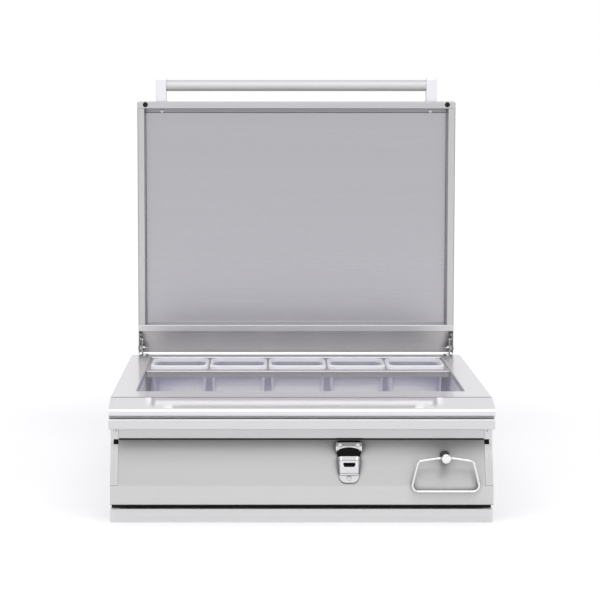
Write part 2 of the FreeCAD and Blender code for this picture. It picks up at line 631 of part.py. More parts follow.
def make_stile_seal():
    """The rubber strip inside the right-hand stile's head, behind its notch."""
    rear = APRON_SETBACK + STILE_RETURN
    low = CHANNEL_BOTTOM - SHEET - STILE_NOTCH - STILE_SEAL_DROP
    return block(PAN_HALF + SHEET, FRONT_HALF - SHEET, rear - SEAL_THICKNESS, rear,
                 low, APRON_BOTTOM)


# -------------------------------------------------------------- pan, casing, bin
def drain_axis(z):
    """The point on the drain's axis at a height."""
    return at(DRAIN_SIDE, DRAIN_SETBACK, z)


def make_bottom_pan():
    """The base pan with four upturned edges and a hole under the drain."""
    front = TRIM_SETBACK + SHEET
    top = TRIM_HEIGHT - FOLD_RADIUS
    floor = block(-PAN_HALF, PAN_HALF, front, PAN_REAR, 0, SHEET)
    front_edge = block(-PAN_HALF, PAN_HALF, front, front + SHEET, 0, top)
    rear_edge = block(-PAN_HALF, PAN_HALF, CASING_REAR, PAN_REAR, 0, PAN_FLANGE)
    right_edge = block(CASING_HALF, PAN_HALF, front, PAN_REAR, 0, PAN_FLANGE)
    left_edge = block(-PAN_HALF, -CASING_HALF, front, PAN_REAR, 0, PAN_FLANGE)
    pan = fused([floor, front_edge, rear_edge, left_edge, right_edge])
    pan = soften(pan, FOLD_RADIUS, lambda box: (near(box.ZMin, 0) and near(box.ZMax, 0)
                                                and near(box.XLength, 0)))
    hole = cylinder(DRAIN_SHAFT_RADIUS, drain_axis(-1), drain_axis(SHEET + 1))
    return pan.cut(hole)


def make_outer_housing():
    """The casing: four walls and a floor that stand in the base pan."""
    radius = FOLD_RADIUS
    outside = rounded_block(-CASING_HALF, CASING_HALF, CASING_SETBACK, CASING_REAR,
                            SHEET, DECK_UNDERSIDE, radius, radius)
    inside = rounded_block(-CASING_HALF + INNER_SHEET, CASING_HALF - INNER_SHEET,
                           CASING_SETBACK + INNER_SHEET, CASING_REAR - INNER_SHEET,
                           CASING_FLOOR, DECK_UNDERSIDE,
                           radius - INNER_SHEET, radius - INNER_SHEET)
    hole = cylinder(DRAIN_SHAFT_RADIUS, drain_axis(0), drain_axis(CASING_FLOOR + 1))
    return outside.cut(inside).cut(hole)


def bin_envelope(offset, top):
    """The bin's inner space grown by an offset, up to a height."""
    space = rounded_block(-BIN_HALF - offset, BIN_HALF + offset,
                          BIN_FRONT - offset, BIN_REAR + offset,
                          BIN_FLOOR - offset, top, BIN_CORNER + offset, BIN_CORNER + offset)
    floor = BIN_FLOOR - offset
    return soften(space, BIN_FLOOR_RADIUS * 0.5 + offset,
                  lambda box: near(box.ZMin, floor) and near(box.ZMax, floor))


def make_ice_bin():
    """The bin that holds the ice, with coved corners, hung under the deck's lip."""
    flange_half = BIN_HALF + INNER_SHEET + BIN_FLANGE
    flange = rounded_block(-flange_half, flange_half, BIN_FRONT - INNER_SHEET - BIN_FLANGE,
                           BIN_REAR + INNER_SHEET + BIN_FLANGE,
                           DECK_UNDERSIDE - INNER_SHEET, DECK_UNDERSIDE, BIN_CORNER, BIN_CORNER)
    bin_solid = fused([bin_envelope(INNER_SHEET, DECK_UNDERSIDE), flange])
    bin_solid = bin_solid.cut(bin_envelope(0, DECK_UNDERSIDE))
    hole = cylinder(NIPPLE_RADIUS + LOOSE_CLEARANCE, drain_axis(0), drain_axis(BIN_FLOOR + 1))
    return bin_solid.cut(hole)


def make_insulation():
    """Foam between the casing and the bin, open round the drain."""
    outside = rounded_block(-CASING_HALF + INNER_SHEET + FOAM_FIT,
                            CASING_HALF - INNER_SHEET - FOAM_FIT,
                            CASING_SETBACK + INNER_SHEET + FOAM_FIT,
                            CASING_REAR - INNER_SHEET - FOAM_FIT,
                            CASING_FLOOR, DECK_UNDERSIDE - FOAM_TOP_GAP,
                            FOLD_RADIUS, FOLD_RADIUS)
    pocket = bin_envelope(INNER_SHEET + FOAM_FIT, DECK_HEIGHT)
    shaft = cylinder(DRAIN_SHAFT_RADIUS, drain_axis(0), drain_axis(BIN_FLOOR))
    return outside.cut(pocket).cut(shaft)


# ------------------------------------------------------------------------- drain
def make_drain_body():
    """The drain: a flange on the bin's floor over a straight nipple."""
    flange_top = BIN_FLOOR + DRAIN_FLANGE_THICKNESS
    flange = cylinder(DRAIN_FLANGE_RADIUS, drain_axis(BIN_FLOOR), drain_axis(flange_top))
    flange = soften(flange, DRAIN_EDGE_RADIUS,
                    lambda box: near(box.ZMin, flange_top) and near(box.ZMax, flange_top))
    nipple = cylinder(NIPPLE_RADIUS, drain_axis(DRAIN_TAIL_HEIGHT), drain_axis(BIN_FLOOR))
    seat = cylinder(STRAINER_RADIUS + LOOSE_CLEARANCE, drain_axis(flange_top - STRAINER_SEAT_DEPTH),
                    drain_axis(flange_top + 1))
    bore = cylinder(DRAIN_BORE_RADIUS, drain_axis(0), drain_axis(flange_top + 1))
    return fused([flange, nipple]).cut(seat).cut(bore)


def make_drain_gasket():
    """The rubber washer between the bin's floor and the locknut."""
    return ring(DRAIN_FLANGE_RADIUS, NIPPLE_RADIUS + LOOSE_CLEARANCE,
                drain_axis(BIN_UNDERSIDE - GASKET_THICKNESS), drain_axis(BIN_UNDERSIDE))


def hexagon(centre, across_corners, length):
    """An upright hexagonal bar standing on a centre point."""
    points = [centre + Vector(across_corners * math.cos(math.radians(60 * k)),
                              across_corners * math.sin(math.radians(60 * k)), 0)
              for k in range(6)]
    return prism([(point, 0) for point in points], Z_AXIS * length)


def make_drain_locknut():
    """The hexagonal nut that clamps the drain to the bin's floor."""
    top = BIN_UNDERSIDE - GASKET_THICKNESS
    nut = hexagon(drain_axis(top - LOCKNUT_THICKNESS), LOCKNUT_RADIUS, LOCKNUT_THICKNESS)
    return nut.cut(cylinder(NIPPLE_RADIUS + RUNNING_CLEARANCE, drain_axis(0), drain_axis(top + 1)))


def make_drain_strainer():
    """The lift-out strainer plate with its rings of holes and a lifting knob."""
    bottom = BIN_FLOOR + DRAIN_FLANGE_THICKNESS - STRAINER_SEAT_DEPTH
    plate = cylinder(STRAINER_RADIUS, drain_axis(bottom), drain_axis(bottom + STRAINER_THICKNESS))
    knob = cylinder(SCREW_HEAD_RADIUS, drain_axis(bottom),
                    drain_axis(bottom + STRAINER_THICKNESS + 2 * SCREW_HEAD_HEIGHT))
    strainer = fused([plate, knob])
    for ring_number in (1, 2):
        holes = 6 * ring_number
        radius = STRAINER_HOLE_PITCH * ring_number + LOOSE_CLEARANCE
        for index in range(holes):
            angle = 2 * math.pi * index / holes
            offset = Vector(radius * math.cos(angle), radius * math.sin(angle), 0)
            hole = cylinder(STRAINER_HOLE_RADIUS, drain_axis(bottom - 1) + offset,
                            drain_axis(bottom + STRAINER_THICKNESS + 1) + offset)
            strainer = strainer.cut(hole)
    return strainer


# ------------------------------------------------------------ rack and containers
def make_rack_ledge():
    """The right-hand angle on the opening's lip that the rack rests on."""
    front = RACK_FRONT + RACK_SHEET + LOOSE_CLEARANCE
    upright = block(OPENING_HALF - SHEET, OPENING_HALF, front, OPENING_REAR - OPENING_CORNER,
                    RACK_UNDERSIDE - LEDGE_HEIGHT, RACK_UNDERSIDE)
    shelf = block(OPENING_HALF - LEDGE_WIDTH, OPENING_HALF, front, OPENING_REAR - OPENING_CORNER,
                  RACK_UNDERSIDE - SHEET, RACK_UNDERSIDE)
    return fused([upright, shelf])


FLOOR_STEPS = 3             # flat bands that round a container's floor


def container_side(index):
    """Side position of a container's middle, counted from the left."""
    return (index - (CONTAINER_COUNT - 1) / 2) * CONTAINER_PITCH


def container_block(index, shrink, z0, z1):
    """The rim's plan drawn in by an amount, between two heights."""
    x = container_side(index)
    return rounded_block(x - RIM_WIDTH / 2 + shrink, x + RIM_WIDTH / 2 - shrink,
                         RIM_FRONT + shrink, RIM_FRONT + RIM_LENGTH - shrink, z0, z1,
                         RIM_CORNER - shrink, RIM_CORNER - shrink)


def make_condiment_rack():
    """The lift-out rack: a plate with a hole for each container and two folded edges."""
    inner_half = OPENING_HALF - LEDGE_WIDTH - LOOSE_CLEARANCE
    plate = rounded_block(-RACK_HALF, RACK_HALF, RACK_FRONT, RACK_REAR,
                          RACK_UNDERSIDE, RACK_TOP, 0, RACK_CORNER)
    front = block(-RACK_HALF, RACK_HALF, RACK_FRONT, RACK_FRONT + RACK_SHEET,
                  RACK_TOP - RACK_FLANGE, RACK_TOP)
    rear = block(-inner_half, inner_half, RACK_REAR - RACK_SHEET, RACK_REAR,
                 RACK_TOP - RACK_FLANGE, RACK_TOP)
    rack = fused([plate, front, rear])
    front_y = RACK_FRONT - CENTRE_DEPTH
    rack = soften(rack, FOLD_RADIUS,
                  lambda box: near(box.ZMin, RACK_TOP) and near(box.YMax, front_y))
    for index in range(CONTAINER_COUNT):
        hole = container_block(index, RIM_OVERLAP - CONTAINER_FIT, RACK_UNDERSIDE - 1, RACK_TOP + 1)
        rack = rack.cut(hole)
    return rack


def tapered_body(index, inset, bottom, top, floor_radius):
    """A container's body: a rounded rectangle that narrows towards its rounded floor."""
    x = container_side(index)
    rim_top = RACK_TOP + RIM_HEIGHT

    def level(z, pull):
        lean = (rim_top - z) * math.tan(math.radians(CONTAINER_DRAFT)) + pull
        half_width = BODY_WIDTH / 2 - inset - lean
        half_length = BODY_LENGTH / 2 - inset - lean
        radius = BODY_CORNER - inset - lean
        corners = [(at(x + sx * half_width, CONTAINER_MIDDLE + sy * half_length, z), radius)
                   for sx, sy in ((-1, -1), (1, -1), (1, 1), (-1, 1))]
        return outline(corners)

    levels = []
    for step in range(FLOOR_STEPS + 1):
        angle = math.pi / 2 * step / FLOOR_STEPS
        levels.append(level(bottom + floor_radius * (1 - math.cos(angle)),
                            floor_radius * (1 - math.sin(angle))))
    return Part.makeLoft(levels + [level(top, 0)], True, True)


def make_container(index):
    """One translucent container hung in the rack by its rolled rim."""
    rim_top = RACK_TOP + RIM_HEIGHT
    floor = rim_top - CONTAINER_DEPTH
    crown = container_block(index, 0, RACK_TOP, rim_top)
    crown = soften(crown, RIM_EDGE_RADIUS,
                   lambda box: near(box.ZMin, rim_top) and near(box.ZMax, rim_top))
    crown = crown.cut(container_block(index, CONTAINER_WALL, RACK_TOP - 1, rim_top - CONTAINER_WALL))
    body = tapered_body(index, 0, floor, rim_top - CONTAINER_WALL, CONTAINER_FLOOR_RADIUS)
    hollow = tapered_body(index, CONTAINER_WALL, floor + CONTAINER_WALL, rim_top + 1,
                          CONTAINER_FLOOR_RADIUS - CONTAINER_WALL / 2)
    return fused([crown, body]).cut(hollow)


# ------------------------------------------------------------------------- hinge
def make_hinge_bracket():
    """The right-hand hinge bracket: a foot on the deck, an ear and a stop behind."""
    toe = PIVOT_DEPTH + FOOT_TOE
    foot = block(FOOT_MIDDLE - FOOT_WIDTH / 2, EAR_OUTSIDE, toe - FOOT_LENGTH, toe,
                 DECK_HEIGHT, DECK_HEIGHT + FOOT_THICKNESS)
    stop = SKIN_BACK - 2 * SHEET
    low = FOOT_THICKNESS - PIVOT_RISE
    high = -FOOT_THICKNESS
    ear = [(PIVOT_DEPTH + back, PIVOT_HEIGHT + up, radius) for back, up, radius in (
        (-EAR_RADIUS, -PIVOT_RISE, 0), (FOOT_TOE, -PIVOT_RISE, 0), (FOOT_TOE, low, 0), (stop, low, 0),
        (stop, high, 0), (EAR_RADIUS, high, TIGHT_FOLD), (EAR_RADIUS, EAR_HEIGHT, EAR_RADIUS * 0.95),
        (-EAR_RADIUS, EAR_HEIGHT, EAR_RADIUS * 0.95))]
    bracket = fused([foot, section(ear, EAR_INSIDE, EAR_OUTSIDE)])
    bore = cylinder(PIN_RADIUS + RUNNING_CLEARANCE, on_lid(EAR_INSIDE - 1, 0, 0),
                    on_lid(EAR_OUTSIDE + 1, 0, 0))
    return drilled(bracket.cut(bore), FOOT_SEATS[2:], -Z_AXIS, SCREW_LENGTH)


def make_hinge_pin():
    """The right-hand hinge pin, put in from outside, with its low head."""
    head_seat = LID_HALF + LOOSE_CLEARANCE
    head = cylinder(PIN_HEAD_RADIUS, on_lid(head_seat, 0, 0),
                    on_lid(head_seat + PIN_HEAD_HEIGHT, 0, 0))
    head = soften(head, PIN_HEAD_HEIGHT * 0.7,
                  lambda box: near(box.XMin, head_seat + PIN_HEAD_HEIGHT))
    tail = EAR_INSIDE - NUT_THICKNESS - PIN_TAIL
    return fused([head, cylinder(PIN_RADIUS, on_lid(tail, 0, 0), on_lid(head_seat, 0, 0))])


def make_hinge_nut():
    """The right-hand hexagonal nut inside the bracket's ear."""
    points = [on_lid(EAR_INSIDE, NUT_RADIUS * math.sin(math.radians(60 * k)),
                     NUT_RADIUS * math.cos(math.radians(60 * k))) for k in range(6)]
    nut = prism([(point, 0) for point in points], -X_AXIS * NUT_THICKNESS)
    return nut.cut(cylinder(PIN_RADIUS + RUNNING_CLEARANCE, on_lid(EAR_INSIDE + 1, 0, 0),
                            on_lid(EAR_INSIDE - NUT_THICKNESS - 1, 0, 0)))


def make_hinge_bush():
    """The right-hand plastic bush that spaces the lid from the bracket's ear."""
    return ring(BUSH_RADIUS, PIN_RADIUS + RUNNING_CLEARANCE, on_lid(EAR_OUTSIDE, 0, 0),
                on_lid(LEAF_SIDE - LOOSE_CLEARANCE, 0, 0))


def leaf_rivet_seats(side):
    """Where the two rivets of one hinge leaf bear on it."""
    return [on_lid(side * LEAF_SIDE, up, LEAF_SHIFT)
            for up in (LEAF_RIVET_START, LEAF_RIVET_START + LEAF_RIVET_PITCH)]


def make_hinge_leaf():
    """The right-hand strap riveted inside the lid's side wall round the hinge pin."""
    low, high = -LEAF_RADIUS, LEAF_LENGTH - LEAF_RADIUS
    corners = [(on_lid(LEAF_SIDE, low, LEAF_SHIFT - LEAF_RADIUS), LEAF_RADIUS * 0.95),
               (on_lid(LEAF_SIDE, low, LEAF_SHIFT + LEAF_RADIUS), LEAF_RADIUS * 0.95),
               (on_lid(LEAF_SIDE, high, LEAF_SHIFT + LEAF_RADIUS), FOLD_RADIUS),
               (on_lid(LEAF_SIDE, high, LEAF_SHIFT - LEAF_RADIUS), FOLD_RADIUS)]
    leaf = prism(corners, X_AXIS * LEAF_THICKNESS)
    bore = cylinder(PIN_RADIUS + RUNNING_CLEARANCE, on_lid(LEAF_SIDE - 1, 0, 0),
                    on_lid(LID_HALF, 0, 0))
    return drilled(leaf.cut(bore), leaf_rivet_seats(1), X_AXIS, SCREW_LENGTH)


# --------------------------------------------------------------------------- lid
def lid_plan(grow, tail, back0, back1, radius):
    """The lid's outline drawn in by an amount, between two distances behind the pin."""
    corners = [(on_lid(-LID_HALF + grow, tail, back0), 0),
               (on_lid(LID_HALF - grow, tail, back0), 0),
               (on_lid(LID_HALF - grow, LID_REACH - grow, back0), radius),
               (on_lid(-LID_HALF + grow, LID_REACH - grow, back0), radius)]
    return prism(corners, Y_AXIS * (back1 - back0))


def make_lid_skin():
    """The lid's outer skin: a top plate with three walls, hemmed at the tail."""
    skin_y = PIVOT_DEPTH + SKIN_BACK - CENTRE_DEPTH
    tail_z = PIVOT_HEIGHT - LID_TAIL
    outside = lid_plan(0, -LID_TAIL, RIM_BACK, SKIN_BACK, LID_CORNER)
    outside = soften(outside, LID_EDGE_RADIUS,
                     lambda box: near(box.YMin, skin_y) and box.ZMax > tail_z + 1)
    inside = lid_plan(SHEET, -LID_TAIL - 1, RIM_BACK - 1, SKIN_BACK - SHEET, LID_CORNER - SHEET)
    hem = lid_block(-LID_INSIDE, LID_INSIDE, -LID_TAIL, HEM_WIDTH - LID_TAIL,
                    SKIN_BACK - 2 * SHEET, SKIN_BACK - SHEET)
    skin = fused([outside.cut(inside), hem])
    sweep = PIVOT_RISE - FOLD_RADIUS + TIGHT_FOLD
    corner = lid_block(-LID_HALF, LID_HALF, -LID_TAIL - 1, 0, RIM_BACK - 1, 0)
    corner = corner.cut(cylinder(sweep, on_lid(-LID_HALF - 1, 0, 0), on_lid(LID_HALF + 1, 0, 0)))
    bore = cylinder(PIN_RADIUS + RUNNING_CLEARANCE, on_lid(-LID_HALF - 1, 0, 0),
                    on_lid(LID_HALF + 1, 0, 0))
    skin = skin.cut(corner).cut(bore)
    skin = drilled(skin, HANDLE_SEATS, Z_AXIS, SCREW_LENGTH)
    for name, side in SIDES:
        skin = drilled(skin, leaf_rivet_seats(side), X_AXIS * side, SCREW_LENGTH)
    return skin


def lid_channel(up0, up1, x0, x1, wall_side):
    """A rail of the lid's frame across the lid, its deep wall towards the recess."""
    face = lid_block(x0, x1, up0, up1, RIM_BACK, RIM_BACK + SHEET)
    deep, shallow = (up0, up1 - SHEET) if wall_side < 0 else (up1 - SHEET, up0)
    deep_wall = lid_block(x0, x1, deep, deep + SHEET, RIM_BACK, PANEL_BACK)
    shallow_end = RIM_BACK + RIM_FACE if wall_side < 0 else SKIN_BACK - SHEET
    shallow_wall = lid_block(x0, x1, shallow, shallow + SHEET, RIM_BACK, shallow_end)
    rail = fused([face, deep_wall, shallow_wall])
    rim_y = PIVOT_DEPTH + RIM_BACK - CENTRE_DEPTH
    rail = soften(rail, SHEET, lambda box: near(box.YMax, rim_y) and box.XLength > RIM_FACE)
    return rail.common(lid_plan(SHEET, 0, RIM_BACK, SKIN_BACK, LID_CORNER - SHEET))


def make_lid_stile():
    """The right-hand side of the lid's frame, between the two rails."""
    up0, up1 = REAR_RAIL_END, FRONT_RAIL_START
    inner = LID_INSIDE - RIM_FACE
    face = lid_block(inner, LID_INSIDE, up0, up1, RIM_BACK, RIM_BACK + SHEET)
    deep_wall = lid_block(inner, inner + SHEET, up0, up1, RIM_BACK, PANEL_BACK)
    shallow_wall = lid_block(LID_INSIDE - SHEET, LID_INSIDE, up0, up1,
                             RIM_BACK, RIM_BACK + RIM_FACE)
    stile = fused([face, deep_wall, shallow_wall])
    rim_y = PIVOT_DEPTH + RIM_BACK - CENTRE_DEPTH
    return soften(stile, SHEET, lambda box: near(box.YMax, rim_y) and box.ZLength > RIM_FACE)


def make_lid_liner():
    """The lid's inner panel, seen at the bottom of the recess."""
    edge = SHEET + LOOSE_CLEARANCE
    panel = lid_block(-LID_INSIDE + edge, LID_INSIDE - edge, REAR_RAIL_START + edge,
                      FRONT_WALL - edge, PANEL_BACK, PANEL_BACK + INNER_SHEET)
    return drilled(panel, LINER_SEATS, Y_AXIS, SCREW_LENGTH)


def make_lid_insulation():
    """Foam between the lid's inner panel and its skin."""
    edge = SHEET + LOOSE_CLEARANCE
    foam = lid_block(-LID_INSIDE + edge, LID_INSIDE - edge, REAR_RAIL_START + edge,
                     FRONT_WALL - edge, PANEL_BACK + INNER_SHEET, SKIN_BACK - SHEET)
    return drilled(foam, LINER_SEATS, Y_AXIS, SCREW_LENGTH + LOOSE_CLEARANCE)


def make_handle_post(side):
    """A square post of the handle, standing on the lid's front wall."""
    half_width, half_depth = HANDLE_POST_WIDTH / 2, HANDLE_POST_THICKNESS / 2
    x = side * POST_SIDE
    top = LID_REACH + HANDLE_POST_HEIGHT
    post = lid_block(x - half_width, x + half_width, LID_REACH, top,
                     POST_BACK - half_depth, POST_BACK + half_depth)
    post = post.makeFillet(HANDLE_POST_RADIUS,
                           [edge for edge in post.Edges
                            if edge.BoundBox.ZMax > PIVOT_HEIGHT + LID_REACH + 1])
    return drilled(post, [seat for seat in HANDLE_SEATS if seat.x * side > 0],
                   Z_AXIS, SCREW_LENGTH + LOOSE_CLEARANCE)


def make_handle_tube():
    """The handle's round tube between the two posts."""
    half_span = POST_SIDE - HANDLE_POST_WIDTH / 2
    start, end = on_lid(-half_span, TUBE_UP, POST_BACK), on_lid(half_span, TUBE_UP, POST_BACK)
    return ring(HANDLE_TUBE_RADIUS, HANDLE_TUBE_RADIUS - HANDLE_TUBE_WALL, start, end)


def make_bumper(side):
    """A rubber bumper on the lid's front rail."""
    x = side * (LID_HALF - BUMPER_INSET)
    up = LID_REACH - BUMPER_SETBACK
    front = LOOSE_CLEARANCE - PIVOT_RISE
    bumper = cylinder(BUMPER_RADIUS, on_lid(x, up, RIM_BACK), on_lid(x, up, front))
    front_y = PIVOT_DEPTH + front - CENTRE_DEPTH
    return soften(bumper, FOLD_RADIUS / 2, lambda box: near(box.YMax, front_y))


# ------------------------------------------------------- opener and towel ring
def opener_point(x, up, out):
    """The point beside, above and off the opener's middle."""
    return on_panel(OPENER_SIDE + x, OPENER_UP + up, out)


def hood_solid(shrink, top):
    """The opener's swelling hood, drawn in by a wall's thickness."""
    wires = []
    middle = (HOOD_TOP + HOOD_BOTTOM) / 2
    stations = ((HOOD_BOTTOM + shrink, HOOD_NARROWING, HOOD_LOW_REACH),
                (middle, (1 + HOOD_NARROWING) / 2, HOOD_MID_REACH), (top, 1.0, 1.0))
    for up, width_share, reach_share in stations:
        half_width = HOOD_WIDTH / 2 * width_share - shrink
        reach = HOOD_REACH * reach_share - shrink
        shoulder = HOOD_SHOULDER * reach
        wires.append(outline([(opener_point(-half_width, up, 0), 0),
                              (opener_point(-half_width, up, reach), shoulder),
                              (opener_point(half_width, up, reach), shoulder),
                              (opener_point(half_width, up, 0), 0)]))
    return Part.makeLoft(wires, True, False)


def make_opener_plate():
    """The opener's back plate: a broad head, a waist beside the hood and a round tail."""
    half, waist, tab = OPENER_WIDTH / 2, OPENER_WAIST / 2, OPENER_TAB / 2
    right_edge = ((half, OPENER_HEAD, OPENER_CORNER), (half, HEAD_SILL, FOLD_RADIUS),
                  (waist, HEAD_SILL - OPENER_NECK, FOLD_RADIUS),
                  (tab, -OPENER_TAIL, OPENER_TAIL_RADIUS))
    edge = list(right_edge) + [(-x, up, radius) for x, up, radius in right_edge[::-1]]
    return prism([(opener_point(x, up, 0), radius) for x, up, radius in edge],
                 PANEL_OUTWARDS * OPENER_PLATE)


def make_opener_head():
    """The thick prising head over the mouth: arched below, bevelled along the top."""
    half = OPENER_WIDTH / 2
    head = prism([(opener_point(x, up, 0), radius) for x, up, radius in (
        (-half, OPENER_HEAD, OPENER_CORNER), (half, OPENER_HEAD, OPENER_CORNER),
        (half, HEAD_SILL, FOLD_RADIUS), (-half, HEAD_SILL, FOLD_RADIUS))],
        PANEL_OUTWARDS * HEAD_REACH)
    half_chord = half - ARCH_SHOULDER
    arch_radius = (half_chord ** 2 + ARCH_RISE ** 2) / (2 * ARCH_RISE)
    arch_middle = HEAD_SILL + ARCH_RISE - arch_radius
    arch = cylinder(arch_radius, opener_point(0, arch_middle, OPENER_PLATE),
                    opener_point(0, arch_middle, HEAD_REACH + 1))
    bevel = prism([(opener_point(-half - 1, up, out), 0) for up, out in (
        (OPENER_HEAD - HEAD_BEVEL, HEAD_REACH), (OPENER_HEAD, OPENER_PLATE),
        (OPENER_HEAD + 1, OPENER_PLATE), (OPENER_HEAD + 1, HEAD_REACH + 1),
        (OPENER_HEAD - HEAD_BEVEL, HEAD_REACH + 1))], X_AXIS * (OPENER_WIDTH + 2))
    return head.cut(arch).cut(bevel)


def make_bottle_opener():
    """The cast wall opener: back plate, prising head, and swelling hood with a window."""
    half = OPENER_WIDTH / 2
    floor = prism([(opener_point(x, up, -1), 0) for x, up in (
        (-half, -OPENER_TAIL), (half, -OPENER_TAIL), (half, OPENER_HEAD), (-half, OPENER_HEAD))],
        PANEL_OUTWARDS * (OPENER_PLATE + 1))
    hood = hood_solid(0, HOOD_TOP).cut(hood_solid(HOOD_WALL, HOOD_TOP + 1).cut(floor))
    pane, foot = HOOD_WINDOW_WIDTH / 2, HOOD_WINDOW_FOOT / 2
    sill_top = HOOD_TOP - HOOD_WINDOW_DROP
    sill = sill_top - HOOD_WINDOW_HEIGHT
    window = prism([(opener_point(x, up, OPENER_PLATE + 1), HOOD_WINDOW_CORNER) for x, up in (
        (-foot, sill), (foot, sill), (pane, sill_top), (-pane, sill_top))],
        PANEL_OUTWARDS * HOOD_REACH)
    opener = fused([make_opener_plate(), hood, make_opener_head()]).cut(window)
    return drilled(opener, OPENER_SEATS, -PANEL_OUTWARDS, OPENER_SCREW_LENGTH)


def ring_middle(depth, z):
    """The point over the ring's middle at a depth and a height."""
    return at(RING_SIDE, depth, z)


def make_towel_ring_post():
    """The stub that carries the ring, on the sloped panel, with a domed cap."""
    foot_depth = panel_depth(RING_HEIGHT)
    cap_back = RING_SETBACK - POST_CAP_GAP
    cap = cylinder(POST_CAP_RADIUS, ring_middle(cap_back, RING_HEIGHT),
                   ring_middle(cap_back - POST_CAP_THICKNESS, RING_HEIGHT))
    front_y = cap_back - POST_CAP_THICKNESS - CENTRE_DEPTH
    cap = soften(cap, POST_CAP_EDGE_RADIUS, lambda box: near(box.YMax, front_y))
    stub = cylinder(POST_RADIUS, ring_middle(cap_back, RING_HEIGHT),
                    ring_middle(foot_depth + 2 * POST_RADIUS, RING_HEIGHT))
    reach = 4 * POST_RADIUS
    behind = section([(panel_depth(RING_HEIGHT - reach), RING_HEIGHT - reach, 0),
                      (panel_depth(RING_HEIGHT + reach), RING_HEIGHT + reach, 0),
                      (panel_depth(RING_HEIGHT) + 4 * reach, RING_HEIGHT + reach, 0),
                      (panel_depth(RING_HEIGHT) + 4 * reach, RING_HEIGHT - reach, 0)],
                     RING_SIDE - reach, RING_SIDE + reach)
    bore = cylinder(RING_WIRE_RADIUS + RUNNING_CLEARANCE,
                    ring_middle(RING_SETBACK, RING_HEIGHT) - X_AXIS * 2 * POST_RADIUS,
                    ring_middle(RING_SETBACK, RING_HEIGHT) + X_AXIS * 2 * POST_RADIUS)
    return fused([cap, stub.cut(behind)]).cut(bore)


def make_towel_ring_rosette():
    """The round plate at the foot of the ring's stub, flat on the sloped panel."""
    up = (RING_HEIGHT - BAND_TOP) / PANEL_HEIGHT * PANEL_LENGTH
    plate = cylinder(ROSETTE_RADIUS, on_panel(RING_SIDE, up, 0),
                     on_panel(RING_SIDE, up, ROSETTE_THICKNESS))
    crown = on_panel(RING_SIDE, up, ROSETTE_THICKNESS)
    plate = plate.makeFillet(ROSETTE_EDGE_RADIUS,
                             [edge for edge in plate.Edges if len(edge.Vertexes) == 1
                              and edge.Curve.Center.distanceToPoint(crown) < 1e-4])
    stub = cylinder(POST_RADIUS + RUNNING_CLEARANCE, ring_middle(0, RING_HEIGHT),
                    ring_middle(PANEL_HEAD_SETBACK + POST_RADIUS, RING_HEIGHT))
    return plate.cut(stub)


def make_towel_ring():
    """The bent-wire towel ring: a crowned top bar through the stub and a wider base."""
    top, bottom = RING_HEIGHT, RING_HEIGHT - RING_FALL
    right_half = ((RING_STRAIGHT, top, RING_CROWN_RADIUS),
                  (RING_TOP_WIDTH / 2, top - RING_ROOF, RING_TOP_RADIUS),
                  (RING_BOTTOM_WIDTH / 2, bottom, RING_BOTTOM_RADIUS))
    bends = list(right_half) + [(-x, z, radius) for x, z, radius in right_half[::-1]]
    corners = [(at(RING_SIDE + x, RING_SETBACK, z), radius) for x, z, radius in bends]
    path = outline(corners)
    start = path.OrderedEdges[0].Vertexes[0].Point
    tangent = path.OrderedEdges[0].tangentAt(path.OrderedEdges[0].FirstParameter)
    wire_section = Part.Wire(Part.makeCircle(RING_WIRE_RADIUS, start, tangent))
    return path.makePipeShell([wire_section], True, False)


# ------------------------------------------------------------------ small screws
STILE_SEATS = [at(side * (PAN_HALF + STILE_NOTCH * 0.55), APRON_SETBACK,
                  APRON_BOTTOM - STILE_SCREW_DROP)
               for name, side in SIDES]
HANDLE_SEATS = [on_lid(side * POST_SIDE, FRONT_WALL, POST_BACK + HANDLE_SCREW_SHIFT)
                for name, side in SIDES]
LINER_SEATS = [on_lid(side * POST_SIDE, FRONT_RAIL_START - LINER_SCREW_INSET, PANEL_BACK)
               for name, side in SIDES]


# -------------------------------------------------------------------- all pieces
keep("top_deck", make_top_deck())
keep("front_rail", make_front_rail())
keep("apron", make_apron())
keep("upper_channel", make_upper_channel())
keep("front_panel", make_front_panel())
keep("bottom_trim", make_bottom_trim())
keep("toe_seal", make_toe_seal())
keep("stile_seals", Part.makeCompound([make_stile_seal(), mirrored(make_stile_seal())]))
keep("bottom_pan", make_bottom_pan())
keep("outer_housing", make_outer_housing())
keep("ice_bin", make_ice_bin())
keep("insulation", make_insulation())
keep("drain_body", make_drain_body())
keep("drain_gasket", make_drain_gasket())
keep("drain_locknut", make_drain_locknut())
keep("drain_strainer", make_drain_strainer())
keep("condiment_rack", make_condiment_rack())
for number in range(CONTAINER_COUNT):
    keep("condiment_container_%d" % (number + 1), make_container(number))

PAIRS = (("side_stile", make_side_stile), ("rack_ledge", make_rack_ledge),
         ("hinge_bracket", make_hinge_bracket), ("hinge_pin", make_hinge_pin),
         ("hinge_nut", make_hinge_nut), ("hinge_bush", make_hinge_bush),
         ("hinge_leaf", make_hinge_leaf), ("lid_stile", make_lid_stile))
for pair_name, make in PAIRS:
    right_piece = make()
    keep(pair_name + "_right", right_piece)
    keep(pair_name + "_left", mirrored(right_piece))

